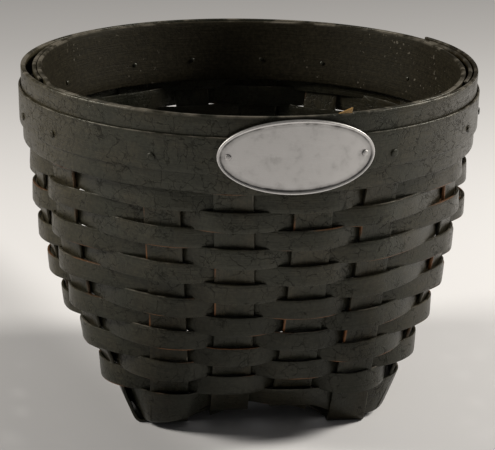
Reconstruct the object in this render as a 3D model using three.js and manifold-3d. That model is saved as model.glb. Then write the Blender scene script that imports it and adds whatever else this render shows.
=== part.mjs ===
// A splint basket with a round rim and a square, domed base, in millimetres with +Z up.
// Eight long splints cross the base and turn up as sixteen uprights. Separate lapped weavers
// go round them in rows, and lapped bands clamp the rim and are tacked through the uprights.
// The origin is on the floor under the middle of the basket, and the front face looks along -Y.
import * as THREE from 'three';
import { mergeVertices } from 'three/addons/utils/BufferGeometryUtils.js';
import Module from 'manifold-3d';

const wasm = await Module();
wasm.setup();

// Overall sizes
const HEIGHT = 173.8; // floor to the top of the rim
const RIM_RADIUS = 116.4; // outside of the outer band, at its top
const FIT = 0.3; // gap between neighbouring pieces

// Wall profile, as exponents of the share of the wall's depth
const FLARE = 2.3; // how late the wall turns in on its way down from the rim bands
const SQUARING = 6; // how late the round wall turns square
const DROOP = 9; // how late the rows droop towards the feet
const FACING = 10; // how late an upright turns to face straight out
const BASE_SQUARENESS = 5; // superellipse exponent at the base, where 2 is round

// Uprights and base
const UPRIGHT_WIDTH = 19;
const UPRIGHT_THICKNESS = 1.5;
const UPRIGHT_RIM_ANGLES = [10.8, 30]; // degrees from the middle of a face, inner and outer upright
const UPRIGHT_TOP_DROP = 9; // how far the uprights end below the rim top
const BASE_OPENING = 11; // between neighbouring splints of the base
const BASE_CROWN = 20; // rise of the middle of the base above its feet
const BASE_BEND = 2.5; // how far the bend reaches up the wall and in across the base
const BASE_MARGIN = 4; // base left free between the outer splints and the bends
const BEND_STEPS = [0.3, 0.6]; // shares of the bend where a splint is folded

// Weavers
const WEAVER_WIDTH = 9.25;
const WEAVER_THICKNESS = 1.2;
const ROW_GAP = 0.35;
const FLAT_MARGIN = 0.6; // how far a weaver lies flat past each edge of an upright
const HIDDEN_ROWS = 1; // rows behind the lower part of the rim bands

// Rim bands
const BAND_HEIGHT = 37.5;
const INNER_BAND_HEIGHT = 33;
const BAND_THICKNESS = 2.4;
const BAND_TAPER = 1.2; // how much smaller in radius a band is at its lower edge
const BAND_END_THICKNESS = 1; // the lapped ends are shaved down to this
const TRIM_RISE = 9.5; // lower edge of the outer band to the lower edge of the trim band
const TRIM_HEIGHT = 18;
const TRIM_THICKNESS = 1.2;
const TRIM_END_THICKNESS = 0.7;

// Uprights over which the laps start, counted round from the left end of the front face, and the
// number of uprights that they cover
const OUTER_BAND_LAP_AT = 4;
const INNER_BAND_LAP_AT = 12;
const TRIM_BAND_LAP_AT = 9;
const OUTER_BAND_LAP_COUNT = 4;
const BAND_LAP_COUNT = 3;

// Tacks
const TACK_RISE = 16; // lower edge of the outer band to the middle of the tacks
const TACK_HEAD_RADIUS = 1.9;
const TACK_HEAD_HEIGHT = 0.8;
const TACK_SHANK_RADIUS = 0.6;
const TACK_CLENCH_RADIUS = 1.1;
const TACK_CLENCH_HEIGHT = 0.5;
const TACK_SIDES = 6;

// Oval plate and its pins
const PLATE_WIDTH = 75.5;
const PLATE_HEIGHT = 35.5;
const PLATE_THICKNESS = 1.2;
const PLATE_RIM_WIDTH = 1.2;
const PLATE_RIM_RISE = 0.7;
const PLATE_RIM_SLOPE = 0.8; // width of the slope from the rim down to the field
const PLATE_ANGLE = 4.6; // degrees to the right of the middle of the front face
const PLATE_RISE = 18.7; // lower edge of the outer band to the middle of the plate
const PLATE_FIELD_RINGS = 3;
const PIN_INSET = 5.2; // end of the plate to the middle of a pin
const PIN_HEAD_RADIUS = 1.5;
const PIN_HEAD_HEIGHT = 0.6;
const PIN_SHANK_RADIUS = 0.6;

// Finishes
const PAINTED_SPLINT = { color: 0x2e2c25, roughness: 0.55, metalness: 0 };
const PAINTED_TACK = { color: 0x24231f, roughness: 0.5, metalness: 0.3 };
const PEWTER = { color: 0x9b9a98, roughness: 0.35, metalness: 1 };

// Counts of a basket with two inner and two outer uprights on each face
const FACES = 4;
const PER_FACE = 2 * UPRIGHT_RIM_ANGLES.length;
const UPRIGHTS = FACES * PER_FACE;
const LAP_STRIDE = PER_FACE - 1; // pairs of uprights by which a row's lap moves on from the row above

// A place round the wall is counted in uprights: each covers a quarter to either side of its
// whole number, and the open stretch to the next upright takes the half between them.
const EDGE = 0.25;
const OPEN = 1 - 2 * EDGE;

// Layers of the wall, as distances from the middle of an upright's thickness
const WEAVE_OFFSET = UPRIGHT_THICKNESS / 2 + FIT + WEAVER_THICKNESS / 2;
const BAND_NEAR = UPRIGHT_THICKNESS / 2 + WEAVER_THICKNESS + 2 * FIT;
const TRIM_NEAR = BAND_NEAR + BAND_THICKNESS + FIT;

// Sizes of the wall and the base that follow from the ones above
const RIM_HALF_WIDTH = RIM_RADIUS - BAND_NEAR - BAND_THICKNESS;
const RIM_PLACES = UPRIGHT_RIM_ANGLES.map((angle) => RIM_HALF_WIDTH * Math.sin(radians(angle)));
const FLAT_HALF = UPRIGHT_WIDTH / 2 + FLAT_MARGIN;
const SPLINT_STEP = UPRIGHT_THICKNESS + FIT; // between two splints where they cross
const BASE_PITCH = UPRIGHT_WIDTH + BASE_OPENING;
const BASE_PLACES = [BASE_PITCH / 2, 1.5 * BASE_PITCH];
const FOOT_EDGE = BASE_PLACES[1] - UPRIGHT_WIDTH / 2; // inner edge of the foot crossings
const FOOT_LEVEL = UPRIGHT_THICKNESS + FIT / 2; // middle of the two splints crossing at a foot
const BASE_REACH = BASE_PLACES[1] + UPRIGHT_WIDTH / 2 + BASE_MARGIN + BASE_BEND;
const BASE_HALF_WIDTH = superellipseSize(BASE_REACH, BASE_PLACES[1], BASE_SQUARENESS);

// The wall droops from the middle of a face to its corner as far as the base does
const OUTER_TURN = cornerShare(BASE_PLACES[1], BASE_REACH);
const INNER_REACH = superellipseReach(BASE_HALF_WIDTH, BASE_PLACES[0], BASE_SQUARENESS);
const INNER_TURN = cornerShare(BASE_PLACES[0], INNER_REACH);
const CORNER_DROOP = domeRise(BASE_PLACES[0]) / (OUTER_TURN - INNER_TURN);
const WALL_DEPTH = HEIGHT - FOOT_LEVEL - CORNER_DROOP * OUTER_TURN;

// Rows of weavers below the rim bands
const ROW_PITCH = WEAVER_WIDTH + ROW_GAP;
const ROWS = Math.floor((slant(BAND_HEIGHT, WALL_DEPTH) - BASE_BEND) / ROW_PITCH);

// Above the hidden rows the inner band leans towards the outer one, as far as the ends of the
// uprights let it
const LEAN_FOOT = depthAt(-HIDDEN_ROWS * ROW_PITCH);
const UPRIGHT_SPARE = BAND_NEAR - UPRIGHT_THICKNESS / 2 - FIT;
const INNER_LEAN = UPRIGHT_SPARE / (1 - UPRIGHT_TOP_DROP / LEAN_FOOT);

// Depths of the trim band, its tacks and the plate below the rim top
const TRIM_DROP = BAND_HEIGHT - TRIM_RISE - TRIM_HEIGHT;
const TACK_DEPTH = BAND_HEIGHT - TACK_RISE;
const PLATE_DROP = BAND_HEIGHT - PLATE_RISE;

function radians(degrees) {
  return THREE.MathUtils.degToRad(degrees);
}

// Half size of the superellipse through the point (x, y).
function superellipseSize(x, y, exponent) {
  return (Math.abs(x) ** exponent + Math.abs(y) ** exponent) ** (1 / exponent);
}

// How far a superellipse reaches from its middle, at a place to the side.
function superellipseReach(size, place, exponent) {
  return (size ** exponent - Math.abs(place) ** exponent) ** (1 / exponent);
}

// 0 in the middle of a face, 1 at a corner.
function cornerShare(place, reach) {
  return Math.sin(2 * Math.atan2(place, reach)) ** 2;
}

// Rise of the domed base along one direction; the rises along both are added.
function domeRise(place) {
  return (BASE_CROWN / 2) * (1 - (Math.min(Math.abs(place), FOOT_EDGE) / FOOT_EDGE) ** 2);
}

// Half width of the wall's outline at a depth below the rim top: straight behind the bands and
// then curving in to the base.
function halfWidth(depth) {
  const tapered = RIM_HALF_WIDTH - (BAND_TAPER * Math.min(depth, BAND_HEIGHT)) / BAND_HEIGHT;
  const share = Math.max(0, depth - BAND_HEIGHT) / (WALL_DEPTH - BAND_HEIGHT);
  return tapered - (RIM_HALF_WIDTH - BAND_TAPER - BASE_HALF_WIDTH) * share ** FLARE;
}

function squareness(depth) {
  return 2 + (BASE_SQUARENESS - 2) * (depth / WALL_DEPTH) ** SQUARING;
}

// Radius of the wall's outline at an angle and a depth.
function outlineRadius(angle, depth) {
  return halfWidth(depth) / superellipseSize(Math.cos(angle), Math.sin(angle), squareness(depth));
}

// Length down the middle of a face between two depths.
function slant(from, to) {
  const steps = 200;
  const step = (to - from) / steps;
  let length = 0;
  for (let i = 0; i < steps; i++) {
    const depth = from + i * step;
    length += Math.sign(step) * Math.hypot(step, halfWidth(depth + step) - halfWidth(depth));
  }
  return length;
}

// Depth at a length down the wall from the lower edge of the outer band.
function depthAt(length) {
  let low = 0;
  let high = WALL_DEPTH;
  const halvings = 40;
  for (let i = 0; i < halvings; i++) {
    const middle = (low + high) / 2;
    if (slant(BAND_HEIGHT, middle) < length) low = middle;
    else high = middle;
  }
  return low;
}

// Middle of an upright's thickness on the front face, at a depth.
function frontPoint(index, depth) {
  const side = index < PER_FACE / 2 ? -1 : 1;
  const rank = side < 0 ? PER_FACE / 2 - 1 - index : index - PER_FACE / 2;
  const share = depth / WALL_DEPTH;
  const place = THREE.MathUtils.lerp(RIM_PLACES[rank], BASE_PLACES[rank], share);
  const reach = superellipseReach(halfWidth(depth), place, squareness(depth));
  const droop = CORNER_DROOP * share ** DROOP * cornerShare(place, reach);
  const turned = Math.atan2(place ** (squareness(depth) - 1), reach ** (squareness(depth) - 1));
  const turn = side * turned * (1 - share ** FACING);
  return { point: new THREE.Vector3(side * place, -reach, HEIGHT - depth - droop), turn };
}

// Seat of an upright at a depth: its middle, the direction across it and the direction out.
function seat(upright, depth) {
  const index = THREE.MathUtils.euclideanModulo(upright, PER_FACE);
  const face = Math.floor(upright / PER_FACE);
  const { point, turn } = frontPoint(index, depth);
  const probe = 0.05;
  const up = point.clone().sub(frontPoint(index, depth + probe).point);
  const across = new THREE.Vector3(Math.cos(turn), Math.sin(turn), 0);
  const out = across.clone().cross(up).normalize();
  const upAxis = new THREE.Vector3(0, 0, 1);
  const faceTurn = (face * 2 * Math.PI) / FACES;
  for (const vector of [point, across, out]) vector.applyAxisAngle(upAxis, faceTurn);
  return { point, across, out };
}

// Angle round the basket of a point, counted from the front and growing to the right.
function azimuth(point) {
  return Math.atan2(point.x, -point.y);
}

// Point at a place round the wall, a depth and an offset out from the uprights' middle.
function wall(place, depth, offset) {
  const upright = Math.floor(place + EDGE);
  const left = seat(upright, depth);
  const along = (place - upright) / EDGE;
  if (along <= 1) {
    return left.point.addScaledVector(left.across, along * FLAT_HALF).addScaledVector(left.out, offset);
  }
  const right = seat(upright + 1, depth);
  const share = (place - upright - EDGE) / OPEN;
  const start = left.point.addScaledVector(left.across, FLAT_HALF);
  const end = right.point.addScaledVector(right.across, -FLAT_HALF);
  const startAngle = azimuth(start);
  const sweep = THREE.MathUtils.euclideanModulo(azimuth(end) - startAngle, 2 * Math.PI);
  const angle = startAngle + share * sweep;
  const startExtra = Math.hypot(start.x, start.y) - outlineRadius(startAngle, depth);
  const endExtra = Math.hypot(end.x, end.y) - outlineRadius(startAngle + sweep, depth);
  const radius = outlineRadius(angle, depth) + THREE.MathUtils.lerp(startExtra, endExtra, share);
  const height = THREE.MathUtils.lerp(start.z, end.z, share);
  const point = new THREE.Vector3(radius * Math.sin(angle), -radius * Math.cos(angle), height);
  return point.addScaledVector(left.out.lerp(right.out, share).normalize(), offset);
}

// Places round the wall where a strip bends: the edges of the uprights and points between them.
function bends(start, end) {
  const places = [start];
  for (let upright = Math.floor(start); upright < end + EDGE; upright++) {
    const corner = THREE.MathUtils.euclideanModulo(upright + 1, PER_FACE) === 0;
    const between = corner ? [1 / 3, 2 / 3] : [1 / 2];
    const candidates = [-EDGE, EDGE, ...between.map((share) => EDGE + share * OPEN)];
    for (const candidate of candidates) {
      const place = upright + candidate;
      if (place > start && place < end) places.push(place);
    }
  }
  return [...places, end];
}

// A closed strip: a box with a slice at each station, its corners moved to corner(station, up, out).
function bentStrip(stations, corner) {
  const slices = stations - 1;
  const geometry = new THREE.BoxGeometry(slices, 2, 2, slices, 1, 1);
  const position = geometry.getAttribute('position');
  for (let i = 0; i < position.count; i++) {
    const station = Math.round(position.getX(i) + slices / 2);
    const { x, y, z } = corner(station, position.getY(i), position.getZ(i));
    position.setXYZ(i, x, y, z);
  }
  geometry.computeVertexNormals();
  return geometry;
}

// A strip that goes round the wall between two depths, with its faces given by place and depth.
function wallStrip(start, end, topDepth, bottomDepth, faces) {
  const places = bends(start, end);
  return bentStrip(places.length, (station, up, out) => {
    const depth = up > 0 ? topDepth : bottomDepth;
    const [inner, outer] = faces(places[station], depth);
    return wall(places[station], depth, out > 0 ? outer : inner);
  });
}

// Closed solid of a geometry, for cutting.
function solid(geometry) {
  const bare = geometry.clone();
  bare.deleteAttribute('normal');
  bare.deleteAttribute('uv');
  const merged = mergeVertices(bare);
  const vertProperties = Float32Array.from(merged.getAttribute('position').array);
  const triVerts = Uint32Array.from(merged.index.array);
  return new wasm.Manifold(new wasm.Mesh({ numProp: 3, vertProperties, triVerts }));
}

// The geometry with every tool cut out of it.
function cut(geometry, tools) {
  let body = solid(geometry);
  for (const tool of tools) body = body.subtract(solid(tool));
  const mesh = body.getMesh();
  const result = new THREE.BufferGeometry();
  result.setAttribute('position', new THREE.BufferAttribute(Float32Array.from(mesh.vertProperties), 3));
  result.setIndex(new THREE.BufferAttribute(Uint32Array.from(mesh.triVerts), 1));
  result.computeVertexNormals();
  return result;
}

// Lap of a band: how far the layer over it is pushed away from the wall at a place.
function bandBulge(band, place) {
  const past = THREE.MathUtils.euclideanModulo(place - band.start, UPRIGHTS);
  const full = band.endThickness + FIT;
  if (past <= band.lap) return full;
  if (past >= UPRIGHTS - OPEN) return (full * (past - UPRIGHTS + OPEN)) / OPEN;
  return full * Math.max(0, 1 - (past - band.lap) / OPEN);
}

// Near and far faces of a band along its length, with both ends shaved where they lap.
function bandFaces(band, place) {
  const past = place - band.start;
  const near = band.near + band.under(place);
  const spare = band.thickness - band.endThickness;
  if (past <= band.lap) return [near, near + band.endThickness + (spare * past) / band.lap];
  const bulge = past < UPRIGHTS - OPEN ? 0 : bandBulge(band, Math.min(place, band.start + UPRIGHTS));
  const shaved = spare * Math.max(0, (past - UPRIGHTS) / band.lap);
  return [near + bulge + shaved, near + bulge + band.thickness];
}

// Distance from the uprights' middle to a band's outermost face.
function bandCover(band, place) {
  return band.near + band.under(place) + band.thickness + bandBulge(band, place);
}

// The outer bands lap over their starts, and the inner band laps over its end.
function bandGeometry(band) {
  const end = band.start + UPRIGHTS + band.lap;
  return wallStrip(band.start, end, band.drop, band.drop + band.height, (place, depth) => {
    if (band.side > 0) return bandFaces(band, place);
    const [near, far] = bandFaces(band, band.start + end - place);
    return [innerLean(depth) - far, innerLean(depth) - near];
  });
}

// How far the inner band leans out at a depth.
function innerLean(depth) {
  return INNER_LEAN * (1 - depth / LEAN_FOOT);
}

const rimBand = {
  drop: 0,
  near: BAND_NEAR,
  thickness: BAND_THICKNESS,
  endThickness: BAND_END_THICKNESS,
  lap: BAND_LAP_COUNT - OPEN,
  under: () => 0,
};
const outerBand = {
  ...rimBand,
  side: 1,
  height: BAND_HEIGHT,
  start: OUTER_BAND_LAP_AT - EDGE,
  lap: OUTER_BAND_LAP_COUNT - OPEN,
};
const innerBand = { ...rimBand, side: -1, height: INNER_BAND_HEIGHT, start: INNER_BAND_LAP_AT - EDGE };
const trimBand = {
  side: 1,
  start: TRIM_BAND_LAP_AT - EDGE,
  drop: TRIM_DROP,
  height: TRIM_HEIGHT,
  near: TRIM_NEAR,
  thickness: TRIM_THICKNESS,
  endThickness: TRIM_END_THICKNESS,
  lap: BAND_LAP_COUNT - OPEN,
  under: (place) => bandBulge(outerBand, place),
};

// Half of a splint: down its wall from the rim and across the base to the middle.
function halfSplint(index, parity) {
  const sections = [];
  const topRow = -HIDDEN_ROWS;
  const wallEnd = WALL_DEPTH - BASE_BEND;
  const depths = [UPRIGHT_TOP_DROP];
  for (let row = topRow; row <= ROWS; row++) depths.push(depthAt(row * ROW_PITCH));
  for (const depth of [...depths.filter((value) => value < wallEnd - FIT), wallEnd]) {
    sections.push(seat(index, depth));
  }
  const last = sections[sections.length - 1];
  const place = (index - (PER_FACE - 1) / 2) * BASE_PITCH;
  const down = new THREE.Vector3(0, 0, -1);
  const level = (side, along, lift) => {
    return FOOT_LEVEL + domeRise(side) + domeRise(along) + (lift * SPLINT_STEP) / 2;
  };
  const firstLift = parity % 2 === 0 ? 1 : -1;
  const corner = frontPoint(index, WALL_DEPTH).point.setX(place);
  corner.z = level(place, corner.y, firstLift);
  const baseStart = corner.clone();
  baseStart.y += BASE_BEND;
  const bend = new THREE.QuadraticBezierCurve3(last.point, corner, baseStart);
  const straight = new THREE.Vector3(1, 0, 0);
  for (const share of BEND_STEPS) {
    const across = last.across.clone().lerp(straight, share).normalize();
    const out = across.clone().cross(bend.getTangent(share).negate()).normalize();
    sections.push({ point: bend.getPoint(share), across, out });
  }
  const stops = [{ y: baseStart.y, lift: firstLift }];
  BASE_PLACES.toReversed().forEach((crossing, order) => {
    const lift = order % 2 === 0 ? firstLift : -firstLift;
    stops.push({ y: -crossing - UPRIGHT_WIDTH / 2, lift }, { y: -crossing + UPRIGHT_WIDTH / 2, lift });
  });
  for (const { y, lift } of stops) {
    sections.push({ edge: (side) => new THREE.Vector3(side, y, level(side, y, lift)), place, out: down });
  }
  return sections;
}

// Corner of a splint's section: a side of its width and a face of its thickness.
function sectionCorner(section, side, face) {
  const across = (side * UPRIGHT_WIDTH) / 2;
  const point = section.edge
    ? section.edge(section.place + across)
    : section.point.clone().addScaledVector(section.across, across);
  return point.addScaledVector(section.out, (face * UPRIGHT_THICKNESS) / 2);
}

// A whole splint: down the front wall, across the base and up the back wall.
function splintGeometry(index) {
  const front = halfSplint(index, index);
  const back = halfSplint(index, index + PER_FACE - 1).reverse();
  return bentStrip(front.length + back.length, (station, side, face) => {
    if (station < front.length) return sectionCorner(front[station], side, face);
    const corner = sectionCorner(back[station - front.length], side, face);
    return corner.setY(-corner.y);
  });
}

// Offset of a row's middle at an upright, with room for the second layer where its ends lap.
function crossingOffset(row, upright, lapStart) {
  const outside = THREE.MathUtils.euclideanModulo(row + upright, 2) === 1;
  const lapped = WEAVER_THICKNESS + FIT;
  if (outside) return WEAVE_OFFSET + (upright === lapStart + UPRIGHTS ? lapped : 0);
  return -WEAVE_OFFSET - (upright === lapStart + 1 ? lapped : 0);
}

// Faces of a row at a place: flat at each upright and a smooth turn from one to the next.
function rowFaces(row, place, lapStart) {
  const upright = Math.floor(place + EDGE);
  const share = Math.max(0, (place - upright - EDGE) / OPEN);
  const ease = (1 - Math.cos(Math.PI * share)) / 2;
  const here = crossingOffset(row, upright, lapStart);
  const next = crossingOffset(row, upright + 1, lapStart);
  const middle = THREE.MathUtils.lerp(here, next, ease);
  return [middle - WEAVER_THICKNESS / 2, middle + WEAVER_THICKNESS / 2];
}

// Row of weaving between its own two depths. A row hidden by the bands meets end to end behind an
// upright, and the others lap over one upright and behind the next.
function rowGeometry(row) {
  const top = depthAt((row - 1) * ROW_PITCH + ROW_GAP / 2);
  const bottom = depthAt(row * ROW_PITCH - ROW_GAP / 2);
  const odd = THREE.MathUtils.euclideanModulo(row, 2);
  const moved = THREE.MathUtils.euclideanModulo(LAP_STRIDE * row, FACES);
  const lapStart = PER_FACE + 1 + 2 * moved + odd;
  if (row > 0) {
    const end = lapStart + UPRIGHTS + 1 + EDGE;
    return wallStrip(lapStart - EDGE, end, top, bottom, (place) => rowFaces(row, place, lapStart));
  }
  const butt = lapStart + 1;
  const gap = ((FIT / 2) * EDGE) / FLAT_HALF;
  const noLap = -2 * UPRIGHTS;
  return wallStrip(butt + gap, butt + UPRIGHTS - gap, top, bottom, (place) => rowFaces(row, place, noLap));
}

// A nail along +Y with its head's underside at 0, from points of its half outline.
function nailGeometry(headRadius, headHeight, shankRadius, foot) {
  const crown = 0.6;
  const outline = [
    ...foot,
    [shankRadius, 0],
    [headRadius, 0],
    [headRadius, headHeight / 2],
    [headRadius * crown, headHeight],
    [0, headHeight],
  ];
  return new THREE.LatheGeometry(outline.map(([x, y]) => new THREE.Vector2(x, y)), TACK_SIDES);
}

// Clearance hole along +Y from a depth to past its head.
function holeTool(shankRadius, length) {
  const radius = shankRadius + FIT;
  const tool = new THREE.CylinderGeometry(radius, radius, length, TACK_SIDES);
  return tool.translate(0, -length / 2, 0);
}

// Matrix that stands a nail's +Y on a seat's out direction, a distance from the uprights' middle.
function nailMatrix({ point, out }, distance) {
  const turn = new THREE.Quaternion().setFromUnitVectors(new THREE.Vector3(0, 1, 0), out);
  const place = point.clone().addScaledVector(out, distance);
  return new THREE.Matrix4().compose(place, turn, new THREE.Vector3(1, 1, 1));
}

// Tack through the bands and an upright, clenched against the inner band.
function tackAt(upright) {
  const head = bandCover(trimBand, upright) + FIT;
  const length = head + bandCover(innerBand, upright) - innerLean(TACK_DEPTH) + FIT;
  const foot = [
    [0, -length - TACK_CLENCH_HEIGHT],
    [TACK_CLENCH_RADIUS, -length - TACK_CLENCH_HEIGHT / 2],
    [TACK_CLENCH_RADIUS, -length],
    [TACK_SHANK_RADIUS, -length],
  ];
  const matrix = nailMatrix(seat(upright, TACK_DEPTH), head);
  return {
    upright,
    matrix,
    geometry: nailGeometry(TACK_HEAD_RADIUS, TACK_HEAD_HEIGHT, TACK_SHANK_RADIUS, foot),
    tool: holeTool(TACK_SHANK_RADIUS, length).applyMatrix4(matrix),
  };
}

// The plate lies on the trim band, clear of the outermost corners of its bends.
const plateRadius = outlineRadius(radians(PLATE_ANGLE), PLATE_DROP);
const trimRadius = outlineRadius(radians(PLATE_ANGLE), TRIM_DROP) + TRIM_NEAR + TRIM_THICKNESS;
const PLATE_SEAT = Math.hypot(trimRadius, FLAT_HALF) - plateRadius + FIT;

// Seat on the plate's middle line, a distance to the right of its middle.
function plateSeat(right) {
  const angle = radians(PLATE_ANGLE) + right / (plateRadius + PLATE_SEAT);
  const out = new THREE.Vector3(Math.sin(angle), -Math.cos(angle), 0);
  const point = out.clone().multiplyScalar(plateRadius).setZ(HEIGHT - PLATE_DROP);
  return { point, out };
}

// Oval plate bent round the rim: a grid of square rings drawn into ovals, with a raised rim.
function plateGeometry() {
  const insets = [0, PLATE_RIM_WIDTH, PLATE_RIM_WIDTH + PLATE_RIM_SLOPE];
  const rings = PLATE_FIELD_RINGS + insets.length - 1;
  const geometry = new THREE.BoxGeometry(2 * rings, 2 * rings, 2, 2 * rings, 2 * rings, 1);
  const position = geometry.getAttribute('position');
  for (let i = 0; i < position.count; i++) {
    const x = Math.round(position.getX(i));
    const y = Math.round(position.getY(i));
    const ring = Math.max(Math.abs(x), Math.abs(y));
    const fromEdge = rings - ring;
    const inset = insets[Math.min(fromEdge, insets.length - 1)];
    const share = Math.min(1, ring / PLATE_FIELD_RINGS);
    const angle = Math.atan2(y, x);
    const right = (PLATE_WIDTH / 2 - inset) * share * Math.cos(angle);
    const up = (PLATE_HEIGHT / 2 - inset) * share * Math.sin(angle);
    const face = PLATE_THICKNESS + (fromEdge < insets.length - 1 ? PLATE_RIM_RISE : 0);
    const { point, out } = plateSeat(right);
    point.addScaledVector(out, PLATE_SEAT + (position.getZ(i) > 0 ? face : 0));
    position.setXYZ(i, point.x, point.y, point.z + up);
  }
  geometry.computeVertexNormals();
  return geometry;
}

// Pin through the plate and the bands under it.
function pinAt(side) {
  const pinSeat = plateSeat(side * (PLATE_WIDTH / 2 - PIN_INSET));
  const head = PLATE_SEAT + PLATE_THICKNESS + FIT;
  const length = head - BAND_NEAR;
  const foot = [
    [0, -length],
    [PIN_SHANK_RADIUS, -length],
  ];
  const matrix = nailMatrix(pinSeat, head);
  return {
    matrix,
    geometry: nailGeometry(PIN_HEAD_RADIUS, PIN_HEAD_HEIGHT, PIN_SHANK_RADIUS, foot),
    tool: holeTool(PIN_SHANK_RADIUS, length + FIT).applyMatrix4(matrix),
  };
}

function piece(name, geometry, finish) {
  const mesh = new THREE.Mesh(geometry, new THREE.MeshStandardMaterial(finish));
  mesh.name = name;
  return mesh;
}

// A nail's mesh, stood on its seat.
function nailPiece(name, nail, finish) {
  const mesh = piece(name, nail.geometry, finish);
  nail.matrix.decompose(mesh.position, mesh.quaternion, mesh.scale);
  return mesh;
}

function twoDigits(number) {
  return String(number).padStart(2, '0');
}

// The plate takes the place of the tacks under it
const plateHalfAngle = PLATE_WIDTH / 2 / trimRadius;
const tacks = [];
for (let upright = 0; upright < UPRIGHTS; upright++) {
  const angle = azimuth(seat(upright, TACK_DEPTH).point);
  if (Math.abs(angle - radians(PLATE_ANGLE)) > plateHalfAngle) tacks.push(tackAt(upright));
}
const tackTools = tacks.map((tack) => tack.tool);
const pins = { left: pinAt(-1), right: pinAt(1) };
const pinTools = Object.values(pins).map((pin) => pin.tool);

const basket = new THREE.Group();

// Splints, front to back and then side to side
const splints = new THREE.Group();
basket.add(splints);
for (let index = 0; index < PER_FACE; index++) {
  const runs = { front_to_back: 0, side_to_side: 1 };
  for (const [run, quarter] of Object.entries(runs)) {
    const geometry = splintGeometry(index).rotateZ((quarter * 2 * Math.PI) / FACES);
    const holed = cut(geometry, tackTools);
    splints.add(piece(`upright_splint_${run}_${index + 1}`, holed, PAINTED_SPLINT));
  }
}

// Weavers, from the top row under the bands down to the base
const weavers = new THREE.Group();
basket.add(weavers);
for (let row = 1 - HIDDEN_ROWS; row <= ROWS; row++) {
  const name = row > 0 ? `weaver_row_${twoDigits(row)}` : `rim_weaver_${1 - row}`;
  weavers.add(piece(name, rowGeometry(row), PAINTED_SPLINT));
}

// Rim bands with their tacks
const rim = new THREE.Group();
basket.add(rim);
rim.add(piece('outer_rim_band', cut(bandGeometry(outerBand), [...tackTools, ...pinTools]), PAINTED_SPLINT));
rim.add(piece('inner_rim_band', cut(bandGeometry(innerBand), tackTools), PAINTED_SPLINT));
rim.add(piece('trim_band', cut(bandGeometry(trimBand), [...tackTools, ...pinTools]), PAINTED_SPLINT));
tacks.forEach((tack, order) => rim.add(nailPiece(`rim_tack_${twoDigits(order + 1)}`, tack, PAINTED_TACK)));

// Oval plate with its pins
const badge = new THREE.Group();
basket.add(badge);
badge.add(piece('oval_plate', cut(plateGeometry(), pinTools), PEWTER));
for (const [side, pin] of Object.entries(pins)) badge.add(nailPiece(`plate_pin_${side}`, pin, PEWTER));

export default basket;
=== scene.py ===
"""Splint basket with a round banded rim and a square, domed base, dressed on its solids.

Every strip of wood is made flat, with its edges rounded, and is then bent to its place in the basket.
Lengths are in metres, with +Z up and the front of the basket looking along -Y.
"""

import math

import bmesh
import bpy
from mathutils import Matrix, Vector, noise


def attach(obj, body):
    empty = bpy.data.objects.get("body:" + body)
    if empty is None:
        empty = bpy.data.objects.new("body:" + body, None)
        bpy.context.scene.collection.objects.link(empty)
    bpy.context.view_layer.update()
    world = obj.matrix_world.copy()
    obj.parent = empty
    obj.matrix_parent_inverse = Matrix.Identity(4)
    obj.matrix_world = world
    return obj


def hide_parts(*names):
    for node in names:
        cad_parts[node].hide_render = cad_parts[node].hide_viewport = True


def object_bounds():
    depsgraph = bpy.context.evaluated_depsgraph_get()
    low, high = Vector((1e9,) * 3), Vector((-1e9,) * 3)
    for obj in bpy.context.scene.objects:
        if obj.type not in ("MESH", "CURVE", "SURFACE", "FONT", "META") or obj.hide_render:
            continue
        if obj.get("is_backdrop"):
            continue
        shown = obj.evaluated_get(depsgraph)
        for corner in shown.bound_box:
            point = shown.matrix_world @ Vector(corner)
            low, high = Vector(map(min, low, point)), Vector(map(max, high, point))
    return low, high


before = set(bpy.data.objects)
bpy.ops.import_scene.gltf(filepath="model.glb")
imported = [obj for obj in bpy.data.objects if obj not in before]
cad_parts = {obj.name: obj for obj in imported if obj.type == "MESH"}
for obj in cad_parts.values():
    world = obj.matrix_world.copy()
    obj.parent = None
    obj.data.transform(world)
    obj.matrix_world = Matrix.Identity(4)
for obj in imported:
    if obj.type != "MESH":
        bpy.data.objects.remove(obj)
cad_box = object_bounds()

bl_info = {
    "name": "Splint Basket",
    "version": (1, 0, 0),
    "blender": (4, 5, 0),
    "location": "View3D > Sidebar > Basket",
    "description": "Builds a painted splint basket with a banded rim and an oval plate",
    "category": "Object",
}

BODY = "root"

# Counts of a basket with two inner and two outer uprights on each face
FACES = 4
PER_FACE = 4
UPRIGHTS = FACES * PER_FACE
ROWS = 13
HIDDEN_ROWS = 1

# A place round the wall is counted in uprights: each covers a quarter to either side of its whole
# number, and the open stretch to the next upright takes the half between them.
EDGE = 0.25
OPEN = 1 - 2 * EDGE

# Wall profile: exponents of the share of the wall's depth, and of the base's outline
FLARE = 2.3
SQUARING = 6
DROOP = 9
FACING = 10
BASE_SQUARENESS = 5

# Small sizes that the strips share
FIT = 0.0003
FLAT_MARGIN = 0.0006
BASE_MARGIN = 0.004
BASE_BEND = 0.0025
UPRIGHT_TOP_DROP = 0.009
BAND_TAPER = 0.0012
BAND_END_THICKNESS = 0.0017
TRIM_END_THICKNESS = 0.0007

# Degrees from the middle of a face to its inner and outer uprights, at the rim
UPRIGHT_RIM_ANGLES = (10.8, 30.0)

# Gap between the two rim bands at their tops: almost shut, and open round two angles, in degrees
RIM_GAP_SHUT = 0.0002
RIM_GAP_OPEN = 0.0036
RIM_GAP_ANGLES = (85.0, -97.5)
RIM_GAP_SPREAD = 33.0

# Height over which the uprights are drawn in under the bands and let out over the base, and the
# share of it just over the base where they are not drawn in
RECESS_EASE = 0.012
RECESS_CLEAR = 0.5


def length(name, description, default):
    """A property that holds a length."""
    return bpy.props.FloatProperty(
        name=name, description=description, default=default, min=0, precision=5, unit="LENGTH"
    )


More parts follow.
